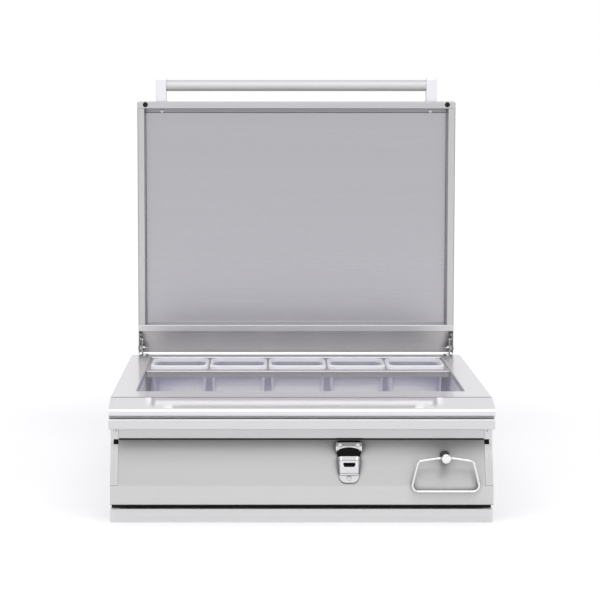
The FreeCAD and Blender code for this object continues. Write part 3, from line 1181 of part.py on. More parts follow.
keep("lid_skin", make_lid_skin())
keep("lid_front_rail", lid_channel(FRONT_RAIL_START, FRONT_WALL, -LID_INSIDE, LID_INSIDE, -1))
keep("lid_rear_rail", lid_channel(REAR_RAIL_START, REAR_RAIL_END, -LID_INSIDE, LID_INSIDE, 1))
keep("lid_liner", make_lid_liner())
keep("lid_insulation", make_lid_insulation())
keep("handle_tube", make_handle_tube())
for hand, side_sign in SIDES:
    keep("handle_post_" + hand, make_handle_post(side_sign))
    keep("lid_bumper_" + hand, make_bumper(side_sign))
keep("bottle_opener", make_bottle_opener())
keep("towel_ring_post", make_towel_ring_post())
keep("towel_ring_rosette", make_towel_ring_rosette())
keep("towel_ring", make_towel_ring())

keep("hinge_foot_screws", Part.makeCompound([screw(seat, -Z_AXIS, SCREW_LENGTH)
                                             for seat in FOOT_SEATS]))
keep("opener_screws", Part.makeCompound([screw(seat, -PANEL_OUTWARDS, OPENER_SCREW_LENGTH)
                                         for seat in OPENER_SEATS]))
keep("stile_screws", Part.makeCompound([screw(seat, Y_AXIS, SCREW_LENGTH)
                                        for seat in STILE_SEATS]))
keep("handle_screws", Part.makeCompound([screw(seat, Z_AXIS, SCREW_LENGTH)
                                         for seat in HANDLE_SEATS]))
keep("liner_screws", Part.makeCompound([screw(seat, Y_AXIS, SCREW_LENGTH)
                                        for seat in LINER_SEATS]))
for hand, side_sign in SIDES:
    rivets = [screw(seat, X_AXIS * side_sign, LEAF_THICKNESS + SHEET)
              for seat in leaf_rivet_seats(side_sign)]
    keep("leaf_rivets_" + hand, Part.makeCompound(rivets))

os.makedirs("parts", exist_ok=True)
for name, shape in PARTS.items():
    if not shape.isValid():
        print("not valid:", name)
    shape.exportStep(os.path.join("parts", name + ".step"))
print(len(PARTS), "pieces,", sum(len(shape.Solids) for shape in PARTS.values()), "solids")
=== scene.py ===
import math

import bmesh
import bpy
from mathutils import Matrix, Vector


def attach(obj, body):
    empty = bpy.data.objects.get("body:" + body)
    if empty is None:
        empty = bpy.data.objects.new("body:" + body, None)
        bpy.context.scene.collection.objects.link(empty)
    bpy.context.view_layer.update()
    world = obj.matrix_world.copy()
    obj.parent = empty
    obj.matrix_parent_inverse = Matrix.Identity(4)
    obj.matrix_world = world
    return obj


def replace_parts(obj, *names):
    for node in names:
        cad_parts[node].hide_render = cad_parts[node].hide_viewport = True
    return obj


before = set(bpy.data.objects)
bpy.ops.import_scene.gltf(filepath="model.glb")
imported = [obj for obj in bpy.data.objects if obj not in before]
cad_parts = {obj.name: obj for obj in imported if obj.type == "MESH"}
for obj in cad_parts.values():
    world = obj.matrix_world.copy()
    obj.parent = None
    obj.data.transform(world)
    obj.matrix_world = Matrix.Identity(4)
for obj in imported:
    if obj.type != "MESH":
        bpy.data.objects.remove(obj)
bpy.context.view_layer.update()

scene = bpy.context.scene

# ============================================================================ studio
# A plain pale floor under an even white sky, one wide soft lamp high in front and
# two weak ones at the sides.  The camera stands near the height of the open lid's top
# edge and looks down a little, square to the front.
scene.view_settings.view_transform = "Standard"
camera_tilt = 4.832         # degrees below level

camera_data = bpy.data.cameras.new("camera")
camera_data.lens = 107.95
camera_data.sensor_width = 36.0
camera_data.shift_x = 0.063
camera_data.shift_y = -0.09
camera_data.clip_end = 100.0
camera = bpy.data.objects.new("camera", camera_data)
camera.location = (-0.0781, -3.8305, 0.851)
camera.rotation_euler = (math.radians(90.0 - camera_tilt), 0.0, 0.0)
scene.collection.objects.link(camera)
scene.camera = camera


def seen_directly(nodes, links):
    """A socket that is 1 where the camera, a reflection or a clear piece sees the surface."""
    path = nodes.new("ShaderNodeLightPath")
    either = nodes.new("ShaderNodeMath")
    either.operation = "MAXIMUM"
    links.new(path.outputs["Is Camera Ray"], either.inputs[0])
    links.new(path.outputs["Is Glossy Ray"], either.inputs[1])
    any_of = nodes.new("ShaderNodeMath")
    any_of.operation = "MAXIMUM"
    links.new(either.outputs[0], any_of.inputs[0])
    links.new(path.outputs["Is Transmission Ray"], any_of.inputs[1])
    return any_of.outputs[0]


def graded(nodes, links, value, low, high, at_low=0.0, at_high=1.0):
    """A socket that runs from at_low to at_high while a value runs from low to high."""
    node = nodes.new("ShaderNodeMapRange")
    for end, number in (("From Min", low), ("From Max", high), ("To Min", at_low),
                        ("To Max", at_high)):
        node.inputs[end].default_value = number
    links.new(value, node.inputs["Value"])
    return node.outputs["Result"]


sky = bpy.data.worlds.new("sky")
scene.world = sky
sky.use_nodes = True
sky_nodes, sky_links = sky.node_tree.nodes, sky.node_tree.links
sky_nodes.clear()
sky_light = sky_nodes.new("ShaderNodeBackground")
sky_light.inputs["Color"].default_value = (0.97, 0.97, 1.0, 1.0)
sky_light.inputs["Strength"].default_value = 0.5
sky_white = sky_nodes.new("ShaderNodeBackground")
sky_white.inputs["Color"].default_value = (1.0, 1.0, 1.0, 1.0)
sky_white.inputs["Strength"].default_value = 1.0
sky_mix = sky_nodes.new("ShaderNodeMixShader")
sky_links.new(seen_directly(sky_nodes, sky_links), sky_mix.inputs["Fac"])
sky_links.new(sky_light.outputs[0], sky_mix.inputs[1])
sky_links.new(sky_white.outputs[0], sky_mix.inputs[2])
sky_links.new(sky_mix.outputs[0], sky_nodes.new("ShaderNodeOutputWorld").inputs["Surface"])

floor_mesh = bpy.data.meshes.new("floor")
floor_mesh.from_pydata([(-40, -40, 0), (40, -40, 0), (40, 40, 0), (-40, 40, 0)], [], [(0, 1, 2, 3)])
floor = bpy.data.objects.new("floor", floor_mesh)
floor.location.z = -0.0002
scene.collection.objects.link(floor)
floor_paint = bpy.data.materials.new("pale floor")
floor_paint.use_nodes = True
floor_nodes, floor_links = floor_paint.node_tree.nodes, floor_paint.node_tree.links
floor_nodes.clear()
floor_matt = floor_nodes.new("ShaderNodeBsdfDiffuse")
floor_matt.inputs["Color"].default_value = (0.86, 0.86, 0.87, 1.0)
floor_place = floor_nodes.new("ShaderNodeTexCoord")
floor_reach = floor_nodes.new("ShaderNodeVectorMath")
floor_reach.operation = "LENGTH"
floor_links.new(floor_place.outputs["Object"], floor_reach.inputs[0])
floor_fade = graded(floor_nodes, floor_links, floor_reach.outputs["Value"], 0.5, 2.2, 0.34, 0.63)
floor_lift = floor_nodes.new("ShaderNodeEmission")
floor_links.new(floor_fade, floor_lift.inputs["Strength"])
floor_seen = floor_nodes.new("ShaderNodeAddShader")
floor_links.new(floor_matt.outputs[0], floor_seen.inputs[0])
floor_links.new(floor_lift.outputs[0], floor_seen.inputs[1])
floor_mix = floor_nodes.new("ShaderNodeMixShader")
floor_links.new(seen_directly(floor_nodes, floor_links), floor_mix.inputs["Fac"])
floor_links.new(floor_matt.outputs[0], floor_mix.inputs[1])
floor_links.new(floor_seen.outputs[0], floor_mix.inputs[2])
floor_output = floor_nodes.new("ShaderNodeOutputMaterial")
floor_links.new(floor_mix.outputs[0], floor_output.inputs["Surface"])
floor_mesh.materials.append(floor_paint)


def soft_lamp(name, place, target, width, height, power):
    """A wide soft lamp at a place, facing a target."""
    lamp = bpy.data.lights.new(name, "AREA")
    lamp.shape = "RECTANGLE"
    lamp.size = width
    lamp.size_y = height
    lamp.energy = power
    holder = bpy.data.objects.new(name, lamp)
    holder.location = place
    holder.rotation_euler = (Vector(target) - Vector(place)).to_track_quat("-Z", "Y").to_euler()
    scene.collection.objects.link(holder)


soft_lamp("high lamp", (0.0, -1.6, 2.7), (0.0, -0.1, 0.2), 2.8, 1.3, 36.0)
soft_lamp("left lamp", (-3.0, -2.0, 1.2), (0.0, 0.0, 0.3), 1.6, 1.6, 5.0)
soft_lamp("right lamp", (3.0, -2.0, 1.2), (0.0, 0.0, 0.3), 1.6, 1.6, 5.0)

# ==================================================================== deck and front
# The deck, the sloped front rail with its round nose and the apron under it are
# 1.2 mm stainless sheet, folded in a press and polished to a bright satin whose
# grain runs across the unit.


def toned(nodes, links, value, colour, spread):
    """A colour that varies by a share of itself while a noise runs from 0.3 to 0.7."""
    ramp = nodes.new("ShaderNodeValToRGB")
    darker, lighter = ramp.color_ramp.elements
    darker.position, lighter.position = 0.3, 0.7
    darker.color = [c * (1 - spread) for c in colour] + [1.0]
    lighter.color = [min(1.0, c * (1 + spread)) for c in colour] + [1.0]
    links.new(value, ramp.inputs["Fac"])
    return ramp.outputs["Color"]


def satin_steel(name, colour, roughness, grain, streak=0.03, uneven=0.05, relief=0.00002,
                polish=0.0, drawn_out=0.0, painted_shade_reach=0.0, darkest=0.03, shut=0.3, open_air=0.8):
    """Polished steel sheet.  grain: the noise's frequency per metre along X, Y and Z, and
    the axis that the brushing goes round; streak and uneven: how far the grain changes
    colour and roughness; relief: its depth in metres; polish: weight of a smooth top
    coat; drawn_out: spreads gloss across the grain; painted_shade_reach: reach in metres
    of the ambient occlusion that paints shade into the colour in hollows and creases,
    which darkens from open_air to shut and leaves darkest of the colour."""
    frequency, round_axis = grain
    material = bpy.data.materials.new(name)
    material.use_nodes = True
    nodes, links = material.node_tree.nodes, material.node_tree.links
    steel = nodes["Principled BSDF"]
    steel.inputs["Metallic"].default_value = 1.0
    steel.inputs["Coat Weight"].default_value = polish
    steel.inputs["Coat Roughness"].default_value = 0.04
    steel.inputs["Coat IOR"].default_value = 3.0
    steel.inputs["Anisotropic"].default_value = drawn_out
    if drawn_out:
        brushing = nodes.new("ShaderNodeTangent")
        brushing.direction_type = "RADIAL"
        brushing.axis = round_axis
        links.new(brushing.outputs[0], steel.inputs["Tangent"])
    place = nodes.new("ShaderNodeTexCoord")

    def streaks(share, detail):
        stretch = nodes.new("ShaderNodeMapping")
        stretch.inputs["Scale"].default_value = [share * per_metre for per_metre in frequency]
        links.new(place.outputs["Object"], stretch.inputs["Vector"])
        noise = nodes.new("ShaderNodeTexNoise")
        noise.inputs["Scale"].default_value = 1.0
        noise.inputs["Detail"].default_value = detail
        noise.inputs["Roughness"].default_value = 0.6
        links.new(stretch.outputs[0], noise.inputs["Vector"])
        return noise.outputs["Fac"]

    fine, broad = streaks(1.0, 4.0), streaks(0.12, 2.0)
    together = nodes.new("ShaderNodeMath")
    together.operation = "MULTIPLY_ADD"
    together.inputs[1].default_value = 0.45
    links.new(fine, together.inputs[0])
    soft_part = nodes.new("ShaderNodeMath")
    soft_part.operation = "MULTIPLY"
    soft_part.inputs[1].default_value = 0.55
    links.new(broad, soft_part.inputs[0])
    links.new(soft_part.outputs[0], together.inputs[2])
    surface_colour = toned(nodes, links, together.outputs[0], colour, streak)
    # Painted shade: ambient occlusion darkens the colour towards near black in hollows, creases and
    # under overhangs.
    if painted_shade_reach:
        hollow = nodes.new("ShaderNodeAmbientOcclusion")
        hollow.samples = 12
        hollow.inputs["Distance"].default_value = painted_shade_reach
        openness = graded(nodes, links, hollow.outputs["AO"], shut, open_air, darkest, 1.0)
        darkened = nodes.new("ShaderNodeMix")
        darkened.data_type = "RGBA"
        darkened.inputs["A"].default_value = (0.02, 0.02, 0.02, 1.0)
        links.new(openness, darkened.inputs["Factor"])
        links.new(surface_colour, darkened.inputs["B"])
        surface_colour = darkened.outputs["Result"]
    links.new(surface_colour, steel.inputs["Base Color"])
    gloss = graded(nodes, links, together.outputs[0], 0.3, 0.7, roughness - uneven,
                   roughness + uneven)
    links.new(gloss, steel.inputs["Roughness"])
    bump = nodes.new("ShaderNodeBump")
    bump.inputs["Strength"].default_value = 0.4
    bump.inputs["Distance"].default_value = relief
    links.new(fine, bump.inputs["Height"])
    links.new(bump.outputs["Normal"], steel.inputs["Normal"])
    return material


def dress(material, *node_names):
    """Give carried-over pieces their finish."""
    for node_name in node_names:
        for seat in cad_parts[node_name].material_slots:
            seat.material = material


ACROSS = ((7.0, 700.0, 700.0), "X")
UPRIGHT = ((700.0, 700.0, 7.0), "Z")
ALL_WAYS = ((350.0, 350.0, 350.0), "Z")

deck_steel = satin_steel("deck steel", (0.66, 0.645, 0.675), 0.42, ACROSS, 0.015, 0.03,
                         polish=0.5, drawn_out=0.5)
rail_steel = satin_steel("rail steel", (0.62, 0.61, 0.635), 0.36, ACROSS, 0.012, 0.02,
                         polish=1.0, drawn_out=0.5)
apron_steel = satin_steel("apron steel", (0.63, 0.622, 0.63), 0.36, ACROSS, 0.02, drawn_out=0.5)
dress(deck_steel, "top_deck")
dress(rail_steel, "front_rail")
dress(apron_steel, "apron")


def placed(name, shape, material, body):
    """Turn a finished bmesh into a smooth piece that rides on a body."""
    bmesh.ops.recalc_face_normals(shape, faces=shape.faces)
    mesh = bpy.data.meshes.new(name)
    shape.to_mesh(mesh)
    shape.free()
    mesh.materials.append(material)
    piece = bpy.data.objects.new(name, mesh)
    scene.collection.objects.link(piece)
    for face in mesh.polygons:
        face.use_smooth = True
    mesh.set_sharp_from_angle(angle=math.radians(40))
    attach(piece, body)
    return piece


def drawn_strip(shape, outline, start, end):
    """Add a strip whose closed outline is swept from start to end; outline holds pairs of
    vectors' shares along the two directions square to the sweep."""
    sweep = (Vector(end) - Vector(start)).normalized()
    first = Vector((0, 1, 0)) if abs(sweep.y) < 0.5 else Vector((1, 0, 0))
    second = Vector((0, 0, 1)) if abs(sweep.z) < 0.5 else Vector((1, 0, 0))
    ends = [[shape.verts.new(Vector(point) + first * a + second * b) for a, b in outline]
            for point in (start, end)]
    for number in range(len(outline)):
        after = (number + 1) % len(outline)
        shape.faces.new((ends[0][number], ends[0][after], ends[1][after], ends[1][number]))
    shape.faces.new(ends[0])
    shape.faces.new(ends[1])


def speckled(name, colour, roughness, per_metre, spread, relief):
    """A moulded or foamed finish: fine even noise in its colour and surface."""
    material = bpy.data.materials.new(name)
    material.use_nodes = True
    nodes, links = material.node_tree.nodes, material.node_tree.links
    body = nodes["Principled BSDF"]
    body.inputs["Roughness"].default_value = roughness
    place = nodes.new("ShaderNodeTexCoord")
    noise = nodes.new("ShaderNodeTexNoise")
    noise.inputs["Scale"].default_value = per_metre
    noise.inputs["Detail"].default_value = 3.0
    links.new(place.outputs["Object"], noise.inputs["Vector"])
    tone = toned(nodes, links, noise.outputs["Fac"], colour, spread)
    links.new(tone, body.inputs["Base Color"])
    bump = nodes.new("ShaderNodeBump")
    bump.inputs["Strength"].default_value = 0.5
    bump.inputs["Distance"].default_value = relief
    links.new(noise.outputs["Fac"], bump.inputs["Height"])
    links.new(bump.outputs["Normal"], body.inputs["Normal"])
    return material


# A thin flat bead of dark grey along the seam between the deck and the front rail is
# painted shade: it stands for the shade in the groove there.
seam_shade = speckled("seam shade", (0.16, 0.155, 0.16), 0.55, 500.0, 0.15, 0.00005)
seam_half_width, seam_half_height = 0.0011, 0.0004
seam_bead = bmesh.new()
drawn_strip(seam_bead, [(seam_half_width * math.cos(math.radians(turn)),
                         seam_half_height * math.sin(math.radians(turn)))
                        for turn in range(0, 360, 30)],
            (-0.3795, -0.2772, 0.2478), (0.3795, -0.2772, 0.2478))
placed("seam_shade_bead", seam_bead, seam_shade, "base")

# The upper channel, the sloped panel with its lower band, the two side stiles and
# the band along the floor are the same sheet with a duller, evenly brushed face.  Its
# tone differs part by part as painted light and shade, darkest on the sloped panel and
# the channel under the apron and lightest on the floor band, and ambient occlusion
# paints more shade at the panel's top under the apron and round the pieces on it.
panel_steel = satin_steel("panel steel", (0.48, 0.474, 0.472), 0.5, ACROSS, 0.03, drawn_out=0.8,
                          painted_shade_reach=0.06, darkest=0.25, shut=0.62, open_air=0.86)
channel_steel = satin_steel("channel steel", (0.58, 0.573, 0.575), 0.4, ACROSS, 0.02, drawn_out=0.5)
band_steel = satin_steel("band steel", (0.7, 0.692, 0.695), 0.4, ACROSS, 0.025, drawn_out=0.5)
stile_steel = satin_steel("stile steel", (0.61, 0.605, 0.608), 0.4, UPRIGHT, 0.02, drawn_out=0.5)

# The flat lower part of the panel's sheet, under the bend at 78.6 mm, is painted a
# little brighter than its slope: painted light.
panel_nodes, panel_links = panel_steel.node_tree.nodes, panel_steel.node_tree.links
panel_place = panel_nodes.new("ShaderNodeTexCoord")
panel_axes = panel_nodes.new("ShaderNodeSeparateXYZ")
panel_links.new(panel_place.outputs["Object"], panel_axes.inputs[0])
panel_bend = graded(panel_nodes, panel_links, panel_axes.outputs["Z"], 0.077, 0.0795, 1.3, 1.0)
panel_brighter = panel_nodes.new("ShaderNodeVectorMath")
panel_brighter.operation = "SCALE"
panel_surface = panel_nodes["Principled BSDF"].inputs["Base Color"]
panel_links.new(panel_surface.links[0].from_socket, panel_brighter.inputs[0])
panel_links.new(panel_bend, panel_brighter.inputs["Scale"])
panel_links.new(panel_brighter.outputs[0], panel_surface)
dress(panel_steel, "front_panel")
dress(channel_steel, "upper_channel")
dress(stile_steel, "side_stile_left", "side_stile_right")
dress(band_steel, "bottom_trim")

# Black rubber strips fill the gap over the floor band and the notches in the stiles;
# these dark pieces paint the shade of the gaps.
black_rubber = speckled("black rubber", (0.012, 0.012, 0.013), 0.62, 900.0, 0.2, 0.00005)
black_rubber.node_tree.nodes["Principled BSDF"].inputs["Specular IOR Level"].default_value = 0.25
dress(black_rubber, "toe_seal", "stile_seals")

# Each stile hangs on one pan-head screw with a cross recess, driven into the channel.
# Ambient occlusion paints shade into the cross recesses and round the heads of the screws and
# rivets.
fastener_steel = satin_steel("fastener steel", (0.66, 0.66, 0.67), 0.22, ALL_WAYS, 0.02,
                             painted_shade_reach=0.0015)


def cross_screws(name, seats, facing, height, node_name, body):
    """Pan heads with a cross recess on their seats; they stand for the node's plain screws."""
    radius, rings, spokes = 0.0042, 12, 64
    arm, half_width = 0.58, 0.15
    outwards = Vector(facing).normalized()
    turn = outwards.to_track_quat("Z", "Y").to_matrix()
    shape = bmesh.new()
    for number, seat in enumerate(seats):
        spin = Matrix.Rotation(0.5 + 1.1 * number, 3, "Z")

        def vertex(share, angle, lift):
            flat = Vector((share * math.cos(angle), share * math.sin(angle), 0.0)) * radius
            return shape.verts.new(Vector(seat) + turn @ (spin @ flat) + outwards * lift)

        def crown(share, angle):
            """Height of the domed head at a place, less the cross recess."""
            across = abs(share * math.cos(angle))
            along = abs(share * math.sin(angle))
            lift = height * (0.45 + 0.55 * math.sqrt(max(0.0, 1.0 - share ** 2)))
            if min(across, along) < half_width and max(across, along) < arm:
                lift -= height * 0.62 * (1.0 - 0.45 * max(across, along) / arm)
            return lift

        middle = vertex(0.0, 0.0, crown(0.0, 0.0))
        rows = []
        for ring in range(1, rings + 1):
            rows.append([vertex(ring / rings, 2 * math.pi * spoke / spokes,
                                crown(ring / rings, 2 * math.pi * spoke / spokes))
                         for spoke in range(spokes)])
        rows.append([vertex(1.0, 2 * math.pi * spoke / spokes, 0.0) for spoke in range(spokes)])
        foot = vertex(0.0, 0.0, 0.0)
        for spoke in range(spokes):
            after = (spoke + 1) % spokes
            shape.faces.new((middle, rows[0][spoke], rows[0][after]))
            shape.faces.new((foot, rows[-1][after], rows[-1][spoke]))
            for inner, outer in zip(rows, rows[1:]):
                shape.faces.new((inner[spoke], outer[spoke], outer[after], inner[after]))
    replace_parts(placed(name, shape, fastener_steel, body), node_name)


cross_screws("stile_cross_screws", [(side * 0.3695, -0.292, 0.184) for side in (-1, 1)],
             (0, -1, 0), 0.0022, "stile_screws", "base")

# ============================================================= pan, casing and ice bin
# The base pan and the casing are plain satin sheet that the counter hides.  The bin is
# drawn sheet with coved corners and a steel drain in its floor; rigid foam fills the
# space between the bin and the casing.
casing_steel = satin_steel("casing steel", (0.6, 0.6, 0.61), 0.38, ACROSS, 0.03)
bin_steel = satin_steel("bin steel", (0.84, 0.83, 0.87), 0.5, ACROSS, 0.03)
dress(casing_steel, "outer_housing", "bottom_pan")
dress(bin_steel, "ice_bin", "drain_body", "drain_locknut", "drain_strainer")
foam = speckled("rigid foam", (0.85, 0.76, 0.5), 0.9, 400.0, 0.06, 0.0004)
dress(foam, "insulation", "lid_insulation")
dress(black_rubber, "drain_gasket")


def turned(shape, middle, facing, profile, spokes=32):
    """Add a turned form to a shape: its profile lists radius and height off its seat."""
    outwards = Vector(facing).normalized()
    turn = outwards.to_track_quat("Z", "Y").to_matrix()
    rows = []
    for radius, height in profile:
        count = spokes if radius else 1
        rows.append([shape.verts.new(Vector(middle) + outwards * height + turn @ Vector(
            (radius * math.cos(2 * math.pi * spoke / spokes),
             radius * math.sin(2 * math.pi * spoke / spokes), 0.0))) for spoke in range(count)])
    for lower, upper in zip(rows, rows[1:]):
        for spoke in range(spokes):
            after = (spoke + 1) % spokes
            corners = [lower[spoke % len(lower)], lower[after % len(lower)],
                       upper[after % len(upper)], upper[spoke % len(upper)]]
            shape.faces.new(list(dict.fromkeys(corners)))


# The pan's upturned edge is riveted to the casing at the sides and the back.
rivet_profile = [(0.0, -0.0003), (0.0026, -0.0003), (0.0026, 0.0002), (0.0023, 0.0007),
                 (0.0017, 0.001), (0.0011, 0.00105), (0.001, 0.0005), (0.0, 0.0005)]
pan_rivets = bmesh.new()
for side in (-1, 1):
    for along in (-0.22, -0.1, 0.02, 0.14, 0.26):
        turned(pan_rivets, (side * 0.364, along, 0.018), (side, 0, 0), rivet_profile)
for across in (-0.3, -0.15, 0.0, 0.15, 0.3):
    turned(pan_rivets, (across, 0.303, 0.018), (0, 1, 0), rivet_profile)
placed("pan_rivets", pan_rivets, fastener_steel, "base")

# Side cheeks of the same sheet close the space between the casing and the front, one
# above the panel's upper fold and one below it at each side, held by rivets.
side_cheeks, cheek_rivets = bmesh.new(), bmesh.new()
upper_cheek = [(-0.2776, 0.1664), (-0.2504, 0.1664), (-0.2504, 0.2294), (-0.2776, 0.2294)]
lower_cheek = [(-0.2504, 0.0406), (-0.2504, 0.1634), (-0.288, 0.1634), (-0.3174, 0.079),
               (-0.319, 0.0775), (-0.319, 0.0406)]
for side in (-1, 1):
    drawn_strip(side_cheeks, upper_cheek, (side * 0.3642, 0, 0), (side * 0.3652, 0, 0))
    drawn_strip(side_cheeks, lower_cheek, (side * 0.363, 0, 0), (side * 0.364, 0, 0))
    turned(cheek_rivets, (side * 0.3652, -0.264, 0.198), (side, 0, 0), rivet_profile)
    for along, height in ((-0.264, 0.148), (-0.264, 0.058), (-0.306, 0.058)):
        turned(cheek_rivets, (side * 0.364, along, height), (side, 0, 0), rivet_profile)
placed("side_cheeks", side_cheeks, casing_steel, "base")
placed("cheek_rivets", cheek_rivets, fastener_steel, "base")

# ============================================================== condiment rack
# The lift-out rack is a stainless plate with five holes and folded front and rear
# edges; it rests on two small angles fixed to the opening's lip.
rack_steel = satin_steel("rack steel", (0.5, 0.49, 0.5), 0.4, ACROSS, 0.03, drawn_out=0.4)
dress(rack_steel, "condiment_rack", "rack_ledge_left", "rack_ledge_right")

# The five containers are injection moulded in translucent white plastic and hang
# in the rack by their rims.
container_plastic = speckled("container plastic", (0.96, 0.957, 1.0), 0.3, 300.0, 0.01, 0.00002)
container_nodes = container_plastic.node_tree.nodes
container_links = container_plastic.node_tree.links
container_body = container_nodes["Principled BSDF"]
container_body.inputs["Transmission Weight"].default_value = 0.04
container_body.inputs["IOR"].default_value = 1.46
container_body.inputs["Subsurface Weight"].default_value = 0.4
container_body.inputs["Subsurface Radius"].default_value = (0.006, 0.006, 0.008)
container_body.inputs["Subsurface Scale"].default_value = 1.0
container_body.inputs["Sheen Weight"].default_value = 0.6
container_body.inputs["Sheen Roughness"].default_value = 0.25
# Painted light: the plastic glows faintly all over, a little more on the rims.
container_body.inputs["Emission Color"].default_value = (0.85, 0.85, 1.0, 1.0)
container_body.inputs["Emission Strength"].default_value = 0.08

# Painted shade and light: the walls are coloured bluish grey where ambient occlusion
# finds them shut in and the inner walls below the rim darker still; painted highlights
# keep the corner edges white, and the rims keep the plastic's white.
container_pitch = 0.1305
container_row = 0.15        # middle of the row along Y
container_shade_occlusion = container_nodes.new("ShaderNodeAmbientOcclusion")
container_shade_occlusion.samples = 12
container_shade_occlusion.inputs["Distance"].default_value = 0.1
container_place = container_nodes.new("ShaderNodeTexCoord")
container_axes = container_nodes.new("ShaderNodeSeparateXYZ")
container_links.new(container_place.outputs["Object"], container_axes.inputs[0])
container_wave = container_nodes.new("ShaderNodeMath")
container_wave.operation = "PINGPONG"
container_wave.inputs[1].default_value = container_pitch / 2
container_links.new(container_axes.outputs["X"], container_wave.inputs[0])
# Painted highlight along each container's corner edges.
container_corner_highlight = graded(container_nodes, container_links, container_wave.outputs[0],
                          0.0495, 0.054)
container_open = graded(container_nodes, container_links, container_shade_occlusion.outputs["AO"],
                        0.5, 0.92)
container_rim = graded(container_nodes, container_links, container_axes.outputs["Z"],
                       0.2455, 0.2485)


def sums_on(nodes, links):
    """A function that adds one Math node to a material and gives its result."""
    def result(operation, *values):
        node = nodes.new("ShaderNodeMath")
        node.operation = operation
        for socket, value in zip(node.inputs, values):
            if isinstance(value, float):
                socket.default_value = value
            else:
                links.new(value, socket)
        return node.outputs[0]
    return result


container_sum = sums_on(container_nodes, container_links)

# A wall faces inwards where its normal points at the middle of its own container.
container_facing = container_nodes.new("ShaderNodeSeparateXYZ")
container_links.new(container_place.outputs["Normal"], container_facing.inputs[0])
container_side = container_sum("WRAP", container_axes.outputs["X"], container_pitch / 2,
                               -container_pitch / 2)
container_inwards = container_sum(
    "ADD", container_sum("MULTIPLY", container_side, container_facing.outputs["X"]),
    container_sum("MULTIPLY",
                  container_sum("SUBTRACT", container_axes.outputs["Y"], container_row),
                  container_facing.outputs["Y"]))
container_inside = container_sum("LESS_THAN", container_inwards, -0.001)
# Painted shade: the inner walls below the rim are darkened by 42 %.
container_shade = container_sum("MULTIPLY", container_inside,
                                container_sum("SUBTRACT", 1.0, container_rim))
container_light = container_sum("SUBTRACT", 1.0, container_sum("MULTIPLY", container_shade, 0.42))
container_white = container_sum(
    "MAXIMUM", container_sum("MAXIMUM", container_open, container_corner_highlight), container_rim)
container_tone = container_nodes.new("ShaderNodeMix")
container_tone.data_type = "RGBA"
container_tone.inputs["A"].default_value = (0.5, 0.497, 0.62, 1.0)
container_links.new(container_white, container_tone.inputs["Factor"])
container_links.new(container_body.inputs["Base Color"].links[0].from_socket,
                    container_tone.inputs["B"])
container_shaded_colour = container_nodes.new("ShaderNodeVectorMath")
container_shaded_colour.operation = "SCALE"
container_links.new(container_tone.outputs["Result"], container_shaded_colour.inputs[0])
container_links.new(container_light, container_shaded_colour.inputs["Scale"])
container_links.new(container_shaded_colour.outputs[0], container_body.inputs["Base Color"])
# The painted glow, stronger on the rims.
container_links.new(container_sum("MULTIPLY_ADD", container_rim, 0.03, 0.07),
                    container_body.inputs["Emission Strength"])
dress(container_plastic, *["condiment_container_%d" % number for number in range(1, 6)])

# ========================================================================== hinges
# Each hinge is a formed bracket screwed to the deck, a strap riveted to the lid's
# side, and a pin with a nut; a white nylon bush spaces the lid from the bracket.
# Ambient occlusion paints shade into the hinges' hollows and round their pins.
hinge_steel = satin_steel("hinge steel", (0.34, 0.34, 0.35), 0.3, UPRIGHT, 0.04, painted_shade_reach=0.004)
bush_nylon = speckled("nylon", (0.86, 0.86, 0.84), 0.45, 700.0, 0.03, 0.00002)
dress(hinge_steel, "hinge_bracket_left", "hinge_bracket_right", "hinge_leaf_left",
      "hinge_leaf_right")
pin_steel = satin_steel("pin steel", (0.36, 0.357, 0.36), 0.34, ALL_WAYS, 0.03, painted_shade_reach=0.004)
dress(pin_steel, "hinge_pin_left", "hinge_pin_right", "hinge_nut_left", "hinge_nut_right")
dress(fastener_steel, "leaf_rivets_left", "leaf_rivets_right")
dress(bush_nylon, "hinge_bush_left", "hinge_bush_right")
cross_screws("hinge_foot_cross_screws",
             [(side * 0.3495, along, 0.25) for side in (-1, 1) for along in (0.279, 0.297)],
             (0, 0, 1), 0.0022, "hinge_foot_screws", "base")

# ============================================================================= lid
# The lid is a folded skin with an inner frame of four channels, all satin sheet.
# Its inner panel is a more finely brushed sheet, set into the frame.
# Painted light and shade: the one sheet is coloured darkest on the skin, whose rear strip lies in
# the shade under the open lid, and lightest on the rear rail.
lid_steel = satin_steel("lid steel", (0.52, 0.515, 0.53), 0.3, ACROSS, 0.025, drawn_out=0.4)
lid_back_steel = satin_steel("lid back steel", (0.44, 0.432, 0.44), 0.3, ACROSS, 0.03,
                             drawn_out=0.4)
lid_side_steel = satin_steel("lid side steel", (0.53, 0.527, 0.53), 0.3, UPRIGHT, 0.025)
rear_rail_steel = satin_steel("rear rail steel", (0.6, 0.595, 0.6), 0.3, ACROSS, 0.025)
# The inner panel is coloured darker as painted shade, standing for the dim surroundings that it
# reflects.
lid_panel_steel = satin_steel("lid panel steel", (0.445, 0.437, 0.462), 0.26, ACROSS, 0.015, 0.03)
dress(lid_back_steel, "lid_skin")
dress(lid_steel, "lid_front_rail")
dress(rear_rail_steel, "lid_rear_rail")
dress(lid_side_steel, "lid_stile_left", "lid_stile_right")
dress(lid_panel_steel, "lid_liner")

